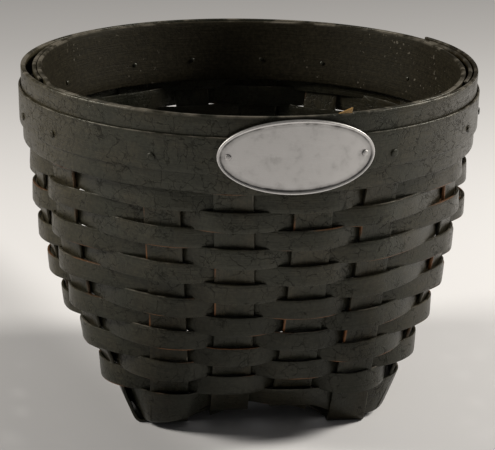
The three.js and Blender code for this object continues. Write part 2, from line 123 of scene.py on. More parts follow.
def colour(name, description, default):
    """A property that holds a linear colour."""
    return bpy.props.FloatVectorProperty(
        name=name, description=description, default=default, min=0, max=1, size=3, subtype="COLOR"
    )


class BasketSizes(bpy.types.PropertyGroup):
    """Sizes of the basket's pieces."""

    rim_height: length("Rim height", "Floor to the top of the rim", 0.1738)
    rim_radius: length("Rim radius", "Outside of the outer band at its top", 0.1164)
    upright_width: length("Upright width", "Width of an upright splint", 0.019)
    upright_thickness: length("Upright thickness", "Thickness of an upright splint", 0.0015)
    upright_recess: length("Upright recess", "How far the weave pulls the uprights in", 0.0014)
    base_opening: length("Base opening", "Between neighbouring splints of the base", 0.011)
    base_crown: length("Base crown", "Rise of the middle of the base above its feet", 0.02)
    weaver_width: length("Weaver width", "Width of a weaver", 0.00925)
    weaver_thickness: length("Weaver thickness", "Thickness of a weaver", 0.0012)
    weaver_bow: length("Weaver bow", "How far a weaver bows away from an upright's middle", 0.0009)
    row_drop: length("Row drop", "Lower edge of the outer band down to the first row", 0.001)
    band_height: length("Outer band height", "Height of the outer rim band", 0.0375)
    inner_band_height: length("Inner band height", "Height of the inner rim band", 0.033)
    band_thickness: length("Band thickness", "Thickness of the two rim bands", 0.0024)
    trim_rise: length("Trim rise", "Lower edge of the outer band up to the trim band", 0.0095)
    trim_height: length("Trim height", "Height of the trim band", 0.018)
    trim_thickness: length("Trim thickness", "Thickness of the trim band", 0.0012)
    tack_rise: length("Tack rise", "Lower edge of the outer band up to the tacks", 0.016)
    tack_radius: length("Tack radius", "Radius of a tack's head", 0.0019)
    plate_width: length("Plate width", "Width of the oval plate", 0.0755)
    plate_height: length("Plate height", "Height of the oval plate", 0.0355)
    plate_rise: length("Plate rise", "Lower edge of the outer band up to the plate's middle", 0.0187)
    pin_radius: length("Pin radius", "Radius of a plate pin's head", 0.0015)


class BasketFinish(bpy.types.PropertyGroup):
    """Colours of the basket's finishes and of the stage."""

    paint: colour("Paint", "Dark olive-grey paint of the splints", (0.0205, 0.0211, 0.0148))
    paint_brown: colour("Brown paint", "Browner patches of the paint", (0.034, 0.0285, 0.0175))
    # Painted highlight: the left flank is painted paler where the lamp lights it
    painted_highlight_left: colour("Left paint", "Paler paint towards the left", (0.046, 0.038, 0.021))
    # Painted warm light and shade: the right flank is painted browner and darker
    painted_warm_shade_right: colour("Right paint", "Browner paint towards the right", (0.013, 0.008, 0.001))
    # Painted shade: the inner face is painted darker and browner, and its paint is duller
    inside_paint_and_shade: colour("Inside paint", "Duller paint inside the rim", (0.02, 0.0168, 0.0102))
    sheen: colour("Sheen", "Tint of the paint's reflections", (1.0, 1.0, 0.88))
    crack: colour("Crack", "Fine cracks in the paint", (0.005, 0.0045, 0.0035))
    # Partly worn paint and partly painted highlight on the upper edges, and painted glints inside
    worn_and_highlight: colour("Worn paint", "Paint that is rubbed thin along the edges", (0.19, 0.17, 0.138))
    wood: colour("Bare wood", "Rusty wood that shows where the paint is gone", (0.19, 0.075, 0.026))
    raw_wood: colour("Raw wood", "Wood at a fresh break", (0.38, 0.225, 0.08))
    pewter: colour("Pewter", "Metal of the oval plate", (0.645, 0.632, 0.623))
    patina: colour("Patina", "Darkened metal in the plate's recesses", (0.12, 0.115, 0.11))
    floor: colour("Floor", "Pale floor", (0.85, 0.846, 0.868))


# Shape of the wall


def superellipse_size(x, y, exponent):
    """Half size of the superellipse through a point."""
    return (abs(x) ** exponent + abs(y) ** exponent) ** (1 / exponent)


def superellipse_reach(size, place, exponent):
    """How far a superellipse reaches from its middle, at a place to the side."""
    return (size**exponent - abs(place) ** exponent) ** (1 / exponent)


def corner_share(place, reach):
    """0 in the middle of a face, 1 at a corner."""
    return math.sin(2 * math.atan2(place, reach)) ** 2


def mix(a, b, share):
    """The value or vector between two others."""
    return a + (b - a) * share


def smooth(share):
    """Eases a share from 0 to 1."""
    share = min(1.0, max(0.0, share))
    return share * share * (3 - 2 * share)


def ripple(spread, *place):
    """Repeatable unevenness between about -1 and 1: the spread says how fast it changes by place."""
    return noise.noise(Vector([rate * step for rate, step in zip(spread, (*place, 1, 1))]))


def azimuth(point):
    """Angle round the basket, counted from the front and growing to the right."""
    return math.atan2(point.x, -point.y)


class BasketWall:
    """The curved wall that every strip follows, worked out from the sizes."""

    # A row droops towards the corners by this share of the wall's droop
    ROW_SAG = 0.45
    SETTLING_STEPS = 4

    # Step down the wall that gives the direction out
    PROBE = 0.00005

    def __init__(self, sizes):
        self.sizes = sizes
        self.height = sizes.rim_height
        self.band_near = sizes.upright_thickness / 2 + sizes.weaver_thickness + 2 * FIT
        self.trim_near = self.band_near + sizes.band_thickness + FIT
        self.rim_half = sizes.rim_radius - self.band_near - sizes.band_thickness
        self.rim_places = [self.rim_half * math.sin(math.radians(a)) for a in UPRIGHT_RIM_ANGLES]
        self.flat_half = sizes.upright_width / 2 + FLAT_MARGIN
        self.splint_step = sizes.upright_thickness + FIT
        self.base_pitch = sizes.upright_width + sizes.base_opening
        self.base_places = [self.base_pitch / 2, 1.5 * self.base_pitch]
        self.foot_edge = self.base_places[1] - sizes.upright_width / 2
        self.foot_level = sizes.upright_thickness + FIT / 2
        reach = self.base_places[1] + sizes.upright_width / 2 + BASE_MARGIN + BASE_BEND
        self.base_half = superellipse_size(reach, self.base_places[1], BASE_SQUARENESS)
        inner_reach = superellipse_reach(self.base_half, self.base_places[0], BASE_SQUARENESS)
        outer_turn = corner_share(self.base_places[1], reach)
        inner_turn = corner_share(self.base_places[0], inner_reach)
        self.corner_droop = self.dome_rise(self.base_places[0]) / (outer_turn - inner_turn)
        self.wall_depth = self.height - self.foot_level - self.corner_droop * outer_turn
        self.trim_drop = sizes.band_height - sizes.trim_rise - sizes.trim_height
        self.seats = {}
        self.lean_foot = sizes.band_height - HIDDEN_ROWS * sizes.weaver_width
        self.tack_depth = sizes.band_height - sizes.tack_rise

    def dome_rise(self, place):
        """Rise of the domed base along one direction; the rises along both are added."""
        share = min(abs(place), self.foot_edge) / self.foot_edge
        return self.sizes.base_crown / 2 * (1 - share**2)

    def half_width(self, depth):
        """Half width of the wall's outline at a depth below the rim top."""
        band = self.sizes.band_height
        tapered = self.rim_half - BAND_TAPER * min(depth, band) / band
        share = max(0.0, depth - band) / (self.wall_depth - band)
        return tapered - (self.rim_half - BAND_TAPER - self.base_half) * share**FLARE

    def squareness(self, depth):
        """Superellipse exponent of the outline, where 2 is round."""
        return 2 + (BASE_SQUARENESS - 2) * max(0.0, depth / self.wall_depth) ** SQUARING

    def outline_radius(self, angle, depth):
        """Radius of the wall's outline at an angle and a depth."""
        size = superellipse_size(math.cos(angle), math.sin(angle), self.squareness(depth))
        return self.half_width(depth) / size

    def front_point(self, index, depth):
        """Middle of an upright's thickness on the front face, and how far it is turned."""
        side = -1 if index < PER_FACE / 2 else 1
        rank = PER_FACE // 2 - 1 - index if side < 0 else index - PER_FACE // 2
        share = max(0.0, depth / self.wall_depth)
        place = mix(self.rim_places[rank], self.base_places[rank], depth / self.wall_depth)
        power = self.squareness(depth)
        reach = superellipse_reach(self.half_width(depth), place, power)
        droop = self.corner_droop * share**DROOP * corner_share(place, reach)
        turned = math.atan2(place ** (power - 1), reach ** (power - 1))
        turn = side * turned * (1 - share**FACING)
        return Vector((side * place, -reach, self.height - depth - droop)), turn

    def seat(self, upright, depth):
        """Middle of an upright at a depth, the direction across it and the direction out."""
        key = (upright % UPRIGHTS, round(depth, 7))
        if key not in self.seats:
            point, turn = self.front_point(upright % PER_FACE, depth)
            below, _ = self.front_point(upright % PER_FACE, depth + self.PROBE)
            across = Vector((math.cos(turn), math.sin(turn), 0))
            out = across.cross(point - below).normalized()
            turned = Matrix.Rotation((upright // PER_FACE) * math.tau / FACES, 3, "Z")
            self.seats[key] = (turned @ point, turned @ across, turned @ out)
        return self.seats[key]

    def level_point(self, place, drop, offset):
        """Point of a level row, which droops towards the corners less than the wall does."""
        droop = self.height - drop - self.round_point(place, drop, 0.0).z
        level = self.height - drop - self.ROW_SAG * droop
        depth = drop
        for _ in range(self.SETTLING_STEPS):
            depth += self.round_point(place, depth, offset).z - level
        return self.round_point(place, depth, offset)

    def angle_at(self, place, depth):
        """Angle round the basket of a place on the wall."""
        upright = math.floor(place + EDGE)
        point, across, _ = self.seat(upright, depth)
        along = (place - upright) / EDGE
        if along <= 1:
            return azimuth(point + across * along * self.flat_half)
        start = azimuth(point + across * self.flat_half)
        point, across, _ = self.seat(upright + 1, depth)
        end = azimuth(point - across * self.flat_half)
        return start + (along - 1) / (OPEN / EDGE) * ((end - start) % math.tau)

    def round_point(self, place, depth, offset):
        """Point on the smooth wall at a place, a depth and an offset out from the uprights."""
        upright = math.floor(place)
        here, _, out_here = self.seat(upright, depth)
        there, _, out_there = self.seat(upright + 1, depth)
        share = place - upright
        angle = self.angle_at(place, depth)
        radius = self.outline_radius(angle, depth)
        level = mix(here.z, there.z, smooth(share))
        point = Vector((radius * math.sin(angle), -radius * math.cos(angle), level))
        return point + out_here.lerp(out_there, share).normalized() * offset

    def rim_point(self, angle, depth, offset):
        """Point on a smooth round band at the rim."""
        radius = self.half_width(max(0.0, depth)) + offset
        return Vector((radius * math.sin(angle), -radius * math.cos(angle), self.height - depth))

    def pinch(self, angle, depth):
        """How far the inner band leans out at a depth, towards the top of the outer band."""
        gap = RIM_GAP_SHUT
        for middle in RIM_GAP_ANGLES:
            away = (math.degrees(angle) - middle + 180) % 360 - 180
            gap += RIM_GAP_OPEN * max(0.0, 1 - (away / RIM_GAP_SPREAD) ** 2)
        return (2 * self.band_near - gap) * max(0.0, 1 - max(0.0, depth) / self.lean_foot)

    def recess(self, depth):
        """How far the uprights are pulled in between the bands and the base."""
        below = smooth((depth - self.sizes.band_height) / RECESS_EASE)
        above = smooth((self.wall_depth - depth) / RECESS_EASE - RECESS_CLEAR)
        return self.sizes.upright_recess * below * above


# Flat strips and pieces

# Step between the maps of two strips, and the angle from which an edge is rounded, in radians
MAP_STEP = 0.061
SHARP_EDGE = 1.0


def flat_strip(size, steps, rounding, segments=2):
    """A flat strip along +X from 0, with its edges rounded: bmesh of length, width and thickness."""
    strip_length, width, thickness = size
    strip = bmesh.new()
    bmesh.ops.create_grid(strip, x_segments=steps[0], y_segments=steps[1], size=0.5)
    bmesh.ops.scale(strip, vec=(strip_length, width, 1), verts=strip.verts)
    bmesh.ops.translate(strip, vec=(strip_length / 2, 0, -thickness / 2), verts=strip.verts)
    grown = bmesh.ops.extrude_face_region(strip, geom=strip.faces[:])
    top = [item for item in grown["geom"] if isinstance(item, bmesh.types.BMVert)]
    bmesh.ops.translate(strip, vec=(0, 0, thickness), verts=top)
    bmesh.ops.recalc_face_normals(strip, faces=strip.faces)
    sharp = [edge for edge in strip.edges if edge.calc_face_angle(0) > SHARP_EDGE]
    bmesh.ops.bevel(
        strip,
        geom=sharp,
        offset=rounding,
        offset_type="OFFSET",
        affect="EDGES",
        segments=segments,
        profile=0.5,
        material=-1,
    )
    return strip


def unmarked(_spot):
    """No mark."""
    return 0.0


def mark_strip(strip, width, order, bare=unmarked, raw=unmarked, dull_and_shaded=unmarked):
    """Keeps a flat strip's own map, its place across and where it is bare or raw, and where it is dull with
    painted shade.

    A positive bare mark is on the edge towards -Y, and a negative one on the edge towards +Y.
    """
    flat_map = strip.loops.layers.uv.new("strip")
    across = strip.verts.layers.float.new("across")
    bared = strip.verts.layers.float.new("bare")
    rawed = strip.verts.layers.float.new("raw")
    dulled = strip.verts.layers.float.new("dull_and_shaded")
    for face in strip.faces:
        for loop in face.loops:
            spot = loop.vert.co
            loop[flat_map].uv = (spot.x, spot.y + spot.z + order * MAP_STEP)
    for vert in strip.verts:
        vert[across] = vert.co.y / (width / 2)
        vert[bared] = bare(vert.co)
        vert[rawed] = raw(vert.co)
        vert[dulled] = dull_and_shaded(vert.co)


def add_piece(name, shape, material, sharp_angle=40):
    """Makes a bmesh a piece that rides with the basket."""
    mesh = bpy.data.meshes.new(name)
    shape.to_mesh(mesh)
    shape.free()
    mesh.shade_smooth()
    mesh.set_sharp_from_angle(angle=math.radians(sharp_angle))
    mesh.materials.append(material)
    piece = bpy.data.objects.new(name, mesh)
    bpy.context.scene.collection.objects.link(piece)
    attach(piece, BODY)
    return piece


# Finishes


class NodeMaker:
    """Adds shader nodes to a material, with their inputs given by name or number."""

    # Places of the colour sockets of a mix node
    MIX_SHARE = 0
    MIX_FIRST = 6
    MIX_SECOND = 7
    MIX_RESULT = 2

    def __init__(self, name):
        self.material = bpy.data.materials.new(name)
        self.material.use_nodes = True
        self.tree = self.material.node_tree
        self.tree.nodes.clear()

    def add(self, kind, inputs=None, **settings):
        """A node with its settings and inputs: an input is a value or another node's socket."""
        node = self.tree.nodes.new(kind)
        for key, value in settings.items():
            setattr(node, key, value)
        for key, value in (inputs or {}).items():
            if isinstance(value, bpy.types.NodeSocket):
                self.tree.links.new(value, node.inputs[key])
            else:
                node.inputs[key].default_value = value
        return node

    def noise(self, vector, scale, detail=2.0, roughness=0.5):
        """Noise between 0 and 1."""
        inputs = {"Vector": vector, "Scale": scale, "Detail": detail, "Roughness": roughness}
        return self.add("ShaderNodeTexNoise", inputs).outputs["Fac"]

    def remap(self, value, low, high, to_low=0.0, to_high=1.0):
        """A value moved from one range to another and clamped to it."""
        inputs = {"Value": value, "From Min": low, "From Max": high, "To Min": to_low, "To Max": to_high}
        return self.add("ShaderNodeMapRange", inputs, interpolation_type="SMOOTHSTEP").outputs["Result"]

    def math(self, operation, first, second=0.0):
        """One sum on one or two values."""
        node = self.add("ShaderNodeMath", {0: first, 1: second}, operation=operation)
        return node.outputs["Value"]

    def times(self, *factors):
        """Product of values."""
        product = factors[0]
        for factor in factors[1:]:
            product = self.math("MULTIPLY", product, factor)
        return product

    def vector(self, operation, first, second):
        """One sum on two vectors or colours."""
        node = self.add("ShaderNodeVectorMath", {0: first, 1: second}, operation=operation)
        return node.outputs["Vector"]

    def spot(self):
        """Place on the object."""
        return self.add("ShaderNodeTexCoord").outputs["Object"]

    def mark(self, name):
        """A mark that the mesh holds."""
        return self.add("ShaderNodeAttribute", attribute_name=name).outputs["Fac"]

    def blend(self, share, first, second):
        """A colour mixed from two others, through the mix node's colour sockets."""
        inputs = {self.MIX_SHARE: share, self.MIX_FIRST: first, self.MIX_SECOND: second}
        return self.add("ShaderNodeMix", inputs, data_type="RGBA").outputs[self.MIX_RESULT]

    def cracks(self, vector, scale, width):
        """1 along the borders of uneven cells, fading over a width counted in cells."""
        inputs = {"Vector": vector, "Scale": scale}
        cells = self.add("ShaderNodeTexVoronoi", inputs, feature="DISTANCE_TO_EDGE")
        return self.remap(cells.outputs["Distance"], 0.0, width, 1.0, 0.0)

    def stretch(self, vector, scale):
        """Coordinates stretched by a scale along each axis."""
        return self.add("ShaderNodeMapping", {"Vector": vector, "Scale": scale}).outputs["Vector"]

    def finish(self, shader):
        """Links the shader to the material's output."""
        self.add("ShaderNodeOutputMaterial", {"Surface": shader.outputs[0]})
        return self.material


def solid(rgb):
    """A colour with full alpha, for a socket."""
    return (*rgb, 1.0)


def crackle_paint(name, finish, brownness, sheen, wear=0.5):
    """Old dark paint on wood: mottled, finely cracked, rubbed along the edges and gone in places, with
    painted light and shade on it: a paler left flank, a browner and darker right flank, a darker inside and a
    darker low middle, and painted highlights on upper edges and inside.
    """
    nodes = NodeMaker(name)
    spot = nodes.spot()
    strip = nodes.add("ShaderNodeUVMap", uv_map="strip").outputs["UV"]
    across = nodes.mark("across")
    bare = nodes.mark("bare")
    raw = nodes.mark("raw")
    dull_and_shaded = nodes.mark("dull_and_shaded")

    # Mottling of the paint, and the flecks and grain that show through it
    mottle = nodes.noise(spot, scale=42.0, detail=4.0, roughness=0.6)
    fleck = nodes.noise(spot, scale=560.0, detail=3.0, roughness=0.65)
    along_grain = nodes.stretch(strip, (60.0, 1500.0, 1.0))
    grain = nodes.noise(along_grain, scale=1.0, detail=3.0, roughness=0.6)
    brown = nodes.times(nodes.remap(mottle, 0.38, 0.68), 2 * brownness)
    painted = nodes.blend(brown, solid(finish.paint), solid(finish.paint_brown))
    shade = nodes.times(nodes.remap(grain, 0.25, 0.8, 0.7, 1.28), nodes.remap(fleck, 0.3, 0.72, 0.68, 1.36))

    # Paint by its place, with painted light and shade: a painted highlight makes it paler to the left,
    # painted warm light and shade make it browner and darker to the right, painted shade makes the dull
    # inside darker, and painted shade darkens it low in the middle
    place = nodes.add("ShaderNodeSeparateXYZ", {"Vector": spot})
    right = place.outputs["X"]
    aside = nodes.math("ABSOLUTE", right)
    # Painted highlight on the left flank and painted warm light and shade on the right flank
    left_highlight_share = nodes.remap(right, -0.112, -0.075, 0.85, 0.0)
    right_shade_share = nodes.remap(right, 0.05, 0.11, 0.0, 0.85)
    highlit_left = nodes.blend(left_highlight_share, painted, solid(finish.painted_highlight_left))
    shaded_right = nodes.blend(right_shade_share, highlit_left, solid(finish.painted_warm_shade_right))
    # Painted shade inside the rim, on the dull inner face
    inside_shaded = nodes.blend(dull_and_shaded, shaded_right, solid(finish.inside_paint_and_shade))
    # Painted shade low on the wall in the middle, which darkens both its colour and its reflections
    low = nodes.remap(place.outputs["Z"], 0.06, 0.105, 1.0, 0.0)
    middle = nodes.remap(aside, 0.045, 0.085, 1.0, 0.0)
    painted_shade_factor = nodes.math("SUBTRACT", 1.0, nodes.times(low, middle, 0.4))
    shaded = nodes.vector("MULTIPLY", inside_shaded, nodes.times(shade, painted_shade_factor))

    # Cracks all over, shorter ones across the strip and fine crazing in patches
    wander = nodes.add("ShaderNodeTexNoise", {"Vector": spot, "Scale": 260.0, "Detail": 3.0}).outputs["Color"]
    centred = nodes.vector("SUBTRACT", wander, (0.5, 0.5, 0.5))
    pushed = nodes.vector("MULTIPLY", centred, (0.006, 0.006, 0.006))
    torn = nodes.vector("ADD", spot, pushed)
    torn_strip = nodes.stretch(nodes.vector("ADD", strip, pushed), (170.0, 90.0, 1.0))
    network = nodes.cracks(torn, scale=150.0, width=0.05)
    crossing = nodes.cracks(torn_strip, scale=1.0, width=0.035)
    crazing = nodes.cracks(torn, scale=330.0, width=0.06)
    netted = nodes.times(network, nodes.remap(nodes.noise(spot, scale=75.0), 0.4, 0.58))
    crossed = nodes.times(crossing, nodes.remap(nodes.noise(spot, scale=70.0), 0.48, 0.6))
    crazed = nodes.times(crazing, nodes.remap(nodes.noise(spot, scale=55.0), 0.48, 0.64, 0.0, 0.6))
    opened = nodes.math("MAXIMUM", netted, nodes.math("MAXIMUM", crossed, crazed))
    cracks = nodes.times(opened, nodes.remap(dull_and_shaded, 0.0, 1.0, 0.55, 0.25))
    cracked = nodes.blend(cracks, shaded, solid(finish.crack))

    # Upper edges rubbed thin and painted pale, partly wear and partly painted highlight, and small pale chips
    # on the dull inner face to either side, partly chips and partly painted glints
    edge_patches = nodes.remap(nodes.noise(spot, scale=95.0, detail=3.0), wear, wear + 0.2)
    rubbed_and_highlit = nodes.times(nodes.remap(across, 0.92, 1.0), edge_patches, 0.65)
    # Painted glints inside: pale specks on the inner face towards the sides, partly paint chips
    speck = nodes.remap(nodes.noise(spot, scale=480.0, detail=1.0), 0.69, 0.73, 0.0, 0.6)
    speck_patches = nodes.remap(nodes.noise(spot, scale=34.0), 0.46, 0.56)
    chips_and_glints = nodes.times(speck, speck_patches, nodes.remap(aside, 0.03, 0.055), dull_and_shaded)
    edged = nodes.blend(nodes.math("MAXIMUM", rubbed_and_highlit, chips_and_glints), cracked, solid(finish.worn_and_highlight))

    # Rusty wood where the paint is gone from an edge, and raw wood at a fresh break
    streak = nodes.remap(grain, 0.2, 0.85, 0.6, 1.3)
    low_edge = nodes.times(bare, nodes.remap(across, -0.96, -0.88, 0.9, 0.0))
    high_edge = nodes.times(bare, nodes.remap(across, 0.88, 0.96, 0.0, -0.9))
    rust = nodes.vector("MULTIPLY", tuple(finish.wood), streak)
    stained = nodes.blend(nodes.math("MAXIMUM", low_edge, high_edge), edged, rust)
    broken = nodes.vector("MULTIPLY", tuple(finish.raw_wood), streak)
    coloured = nodes.blend(raw, stained, broken)

    # Relief and gloss
    relief = nodes.times(grain, 0.5)
    relief = nodes.math("ADD", relief, nodes.times(fleck, 0.4))
    relief = nodes.math("ADD", relief, nodes.times(mottle, 0.6))
    relief = nodes.math("SUBTRACT", relief, nodes.times(cracks, 0.6))
    bump = nodes.add("ShaderNodeBump", {"Height": relief, "Strength": 0.5, "Distance": 0.0005})
    gloss = nodes.remap(grain, 0.2, 0.8, sheen - 0.06, sheen + 0.1)
    dulled = nodes.math("MAXIMUM", cracks, nodes.times(dull_and_shaded, 0.8))
    shader = nodes.add(
        "ShaderNodeBsdfPrincipled",
        {
            "Base Color": coloured,
            "Roughness": nodes.math("ADD", gloss, nodes.times(dulled, 0.3)),
            # Reflections are dimmed with the painted shade low in the middle
            "Specular IOR Level": nodes.times(nodes.remap(dulled, 0.0, 1.0, 0.4, 0.05), painted_shade_factor),
            "Specular Tint": solid(finish.sheen),
            "Normal": bump.outputs["Normal"],
        },
    )
    return nodes.finish(shader)


def cast_pewter(name, finish):
    """Cast pewter: bright where it is rubbed, darkened in its recesses."""
    nodes = NodeMaker(name)
    spot = nodes.spot()
    recess = nodes.mark("recess")
    cloud = nodes.noise(spot, scale=160.0, detail=4.0, roughness=0.65)
    speckle = nodes.noise(spot, scale=1500.0)
    brushed = nodes.noise(nodes.stretch(spot, (260.0, 260.0, 2600.0)), scale=1.0)
    dark = nodes.times(recess, nodes.remap(cloud, 0.25, 0.7, 0.55, 1.0))
    stained = nodes.math("ADD", dark, nodes.remap(cloud, 0.5, 0.85, 0.0, 0.25))
    coloured = nodes.blend(stained, solid(finish.pewter), solid(finish.patina))
    relief = nodes.math("ADD", nodes.times(speckle, 0.5), nodes.times(brushed, 0.5))
    bump = nodes.add("ShaderNodeBump", {"Height": relief, "Strength": 0.3, "Distance": 0.0002})
    shader = nodes.add(
        "ShaderNodeBsdfPrincipled",
        {
            "Base Color": coloured,
            "Metallic": 1.0,
            "Roughness": nodes.remap(cloud, 0.2, 0.8, 0.4, 0.56),
            "Normal": bump.outputs["Normal"],
        },
    )
    return nodes.finish(shader)


def pale_floor(name, finish):
    """Matt pale floor with painted light and shade: painted shade that deepens into the distance, a painted
    shadow at the left front of the basket, and a little painted light just in front of it.
    """
    nodes = NodeMaker(name)
    place = nodes.add("ShaderNodeSeparateXYZ", {"Vector": nodes.spot()})
    right = place.outputs["X"]
    behind = place.outputs["Y"]
    # Painted light: a little brighter just in front of the basket, with painted shade deepening into the
    # distance
    near = nodes.remap(behind, 0.02, 0.14, 1.05, 1.0)
    painted_distance_shade = nodes.remap(behind, 0.15, 0.95, 1.0, 0.67)

    # The painted shadow ends along a line that slants away to the left, and fades out in front
    slanted = nodes.math("ADD", nodes.times(right, 3.0), behind)
    painted_shadow = nodes.remap(slanted, -0.26, -0.1, 0.32, 0.0)
    shown = nodes.remap(behind, -0.22, -0.12)
    aside = nodes.math("SUBTRACT", 1.0, nodes.times(shown, painted_shadow))
    tone = nodes.vector("MULTIPLY", tuple(finish.floor), nodes.times(near, painted_distance_shade, aside))
    shader = nodes.add("ShaderNodeBsdfPrincipled", {"Base Color": tone, "Roughness": 0.9})
    return nodes.finish(shader)


def finish_named(name, maker, **options):
    """A material made once and shared by the pieces that have that finish."""
    return bpy.data.materials.get(name) or maker(name, bpy.context.scene.basket_finish, **options)


# Uprights


class SplintPath:
    """Path of one long splint: down a wall, across the base and up the opposite wall."""

    WALL_STEPS = 60
    BEND_STEPS = 7
    BASE_STEPS = 44

    # How sharply a splint steps over or under the next one of the base
    STEEPNESS = 1.35

    def __init__(self, wall, index, turn):
        self.wall = wall
        self.index = index
        self.turn = turn
        self.place = (index - (PER_FACE - 1) / 2) * wall.base_pitch
        front = self.half(index, at_back=False)
        back = [self.mirrored(section) for section in reversed(self.half(index + PER_FACE - 1, at_back=True))]
        self.sections = front + back
        self.last = len(self.sections) - 1

    @staticmethod
    def mirrored(section):
        """The section on the opposite wall."""

        def turned(side):
            point, out = section(side)
            return Vector((point.x, -point.y, point.z)), Vector((out.x, -out.y, out.z))

        return turned

    def lift(self, y, first):
        """How far the splint is lifted or lowered where it crosses the others of the base."""
        pitch = self.wall.base_pitch
        wave = math.sin(math.pi * abs(y) / pitch)
        sign = first if round(self.wall.base_places[1] / pitch - 0.5) % 2 == 0 else -first
        turned = max(-1.0, min(1.0, -self.STEEPNESS * wave * sign))
        if abs(y) >= self.wall.base_places[1]:
            turned = first
        return turned * self.wall.splint_step / 2

    def base_section(self, y, first):
        """Section across the base, laid over the dome."""
        wall = self.wall

        def section(side):
            spot = self.place + side
            rise = wall.dome_rise(spot) + wall.dome_rise(y)
            return Vector((spot, y, wall.foot_level + rise + self.lift(y, first))), Vector((0, 0, -1))

        return section

    def wall_seat(self, depth, at_back):
        """Seat on the wall: leaning between the rim bands, and pulled in by the weave below them."""
        point, across, out = self.wall.seat(self.index, depth)
        angle = self.turn + (math.pi - azimuth(point) if at_back else azimuth(point))
        moved = self.wall.pinch(angle, depth) / 2 - self.wall.recess(depth)
        return point + out * moved, across, out

    def half(self, parity_index, at_back):
        """Sections from the rim to the middle of the base, each a function of the place across."""
        wall = self.wall
        first = 1 if parity_index % 2 == 0 else -1
        wall_end = wall.wall_depth - BASE_BEND
        sections = []
        for step in range(self.WALL_STEPS + 1):
            depth = mix(UPRIGHT_TOP_DROP, wall_end, step / self.WALL_STEPS)
            sections.append(self.wall_section(*self.wall_seat(depth, at_back)))
        point, across, _ = wall.seat(self.index, wall_end)
        corner, _ = wall.front_point(self.index, wall.wall_depth)
        corner.x = self.place
        corner.z = wall.foot_level + wall.dome_rise(self.place) + wall.dome_rise(corner.y)
        corner.z += first * wall.splint_step / 2
        base_start = corner + Vector((0, BASE_BEND, 0))
        for step in range(1, self.BEND_STEPS):
            share = step / self.BEND_STEPS
            bent = mix(mix(point, corner, share), mix(corner, base_start, share), share)
            run = mix(corner - point, base_start - corner, share)
            turned = across.lerp(Vector((1, 0, 0)), share).normalized()
            sections.append(self.wall_section(bent, turned, turned.cross(-run).normalized()))
        for step in range(self.BASE_STEPS):
            y = mix(base_start.y, 0.0, step / self.BASE_STEPS)
            sections.append(self.base_section(y, first))
        return sections

    @staticmethod
    def wall_section(point, across, out):
        """Section that lies straight across a seat."""

        def section(side):
            return point + across * side, out

        return section

    def bend(self, spot):
        """Moves a point of the flat strip, whose X counts sections, to its place."""
        step = min(self.last, max(0.0, spot.x))
        low = min(self.last - 1, int(step))
        share = step - low
        near, near_out = self.sections[low](spot.y)
        far, far_out = self.sections[low + 1](spot.y)
        return mix(near, far, share) + near_out.lerp(far_out, share).normalized() * spot.z


class BASKET_OT_uprights(bpy.types.Operator):
    """Make the eight long splints that cross the base and turn up as the uprights"""

    bl_idname = "basket.uprights"
    bl_label = "Uprights"

    SECTION_LENGTH = 0.0022
    ROUNDING = 0.0003
    STEPS_ACROSS = 6

    # Sections from the rim over which the bare edges fade out
    LAST_BARE = 50
    BARE_FADE = 8

    # Raggedness of the bare edges, and how much of them is left on the far half of a splint
    BARE_SPREAD = (60, 3.1, 5.7)
    BARE_CONTRAST = 4
    FAR_BARE = 0.25

    # Sections from the rim over which a raw break fades out
    LAST_RAW = 3
    RAW_FADE = 2

    # One upright stands up beside the plate: its slanted end clears the rim at one corner
    STANDING = 2
    STANDING_SECTIONS = 6
    STANDING_SLOPE = 0.37
    STANDING_FOOT = 0.0025
    STANDING_SHIFT = Vector((0.0055, -0.0008, 0))

    def execute(self, context):
        wall = BasketWall(context.scene.basket_sizes)
        paint = finish_named("upright_paint", crackle_paint, brownness=0.7, sheen=0.38)
        for run, quarter in (("front_to_back", 0), ("side_to_side", 1)):
            for index in range(PER_FACE):
                node = f"upright_splint_{run}_{index + 1}"
                shape = self.splint(wall, index, quarter)
                piece = add_piece(node + "_painted", shape, paint)
                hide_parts(node)
        return {"FINISHED"}

    def splint(self, wall, index, quarter):
        """One splint, bent along its path and turned to its own direction."""
        sizes = wall.sizes
        turn = quarter * math.tau / FACES
        path = SplintPath(wall, index, turn)
        scale = self.SECTION_LENGTH
        size = (path.last * scale, sizes.upright_width, sizes.upright_thickness)
        shape = flat_strip(size, (path.last, self.STEPS_ACROSS), self.ROUNDING)
        standing = index == self.STANDING and quarter == 0

        def bare(spot):
            ragged = self.BARE_CONTRAST * ripple(self.BARE_SPREAD, spot.x, index, quarter)
            section = min(spot.x / scale, path.last - spot.x / scale)
            above_base = smooth((self.LAST_BARE - section) / self.BARE_FADE)
            kept = self.FAR_BARE if spot.x / scale > path.last / 2 else 1.0
            return kept * smooth(ragged) * above_base

        def raw(spot):
            return smooth((self.LAST_RAW - spot.x / scale) / self.RAW_FADE) if standing else 0.0

        mark_strip(shape, sizes.upright_width, index + PER_FACE * quarter, bare, raw)
        turned = Matrix.Rotation(turn, 3, "Z")
        for vert in shape.verts:
            flat = vert.co.copy()
            placed = path.bend(Vector((flat.x / scale, flat.y, flat.z)))
            if standing:
                share = max(0.0, 1 - flat.x / scale / self.STANDING_SECTIONS)
                rise = UPRIGHT_TOP_DROP + self.STANDING_SLOPE * (flat.y - self.STANDING_FOOT)
                placed += share * (self.STANDING_SHIFT + Vector((0, 0, rise)))
            vert.co = turned @ placed
        return shape


# Weavers


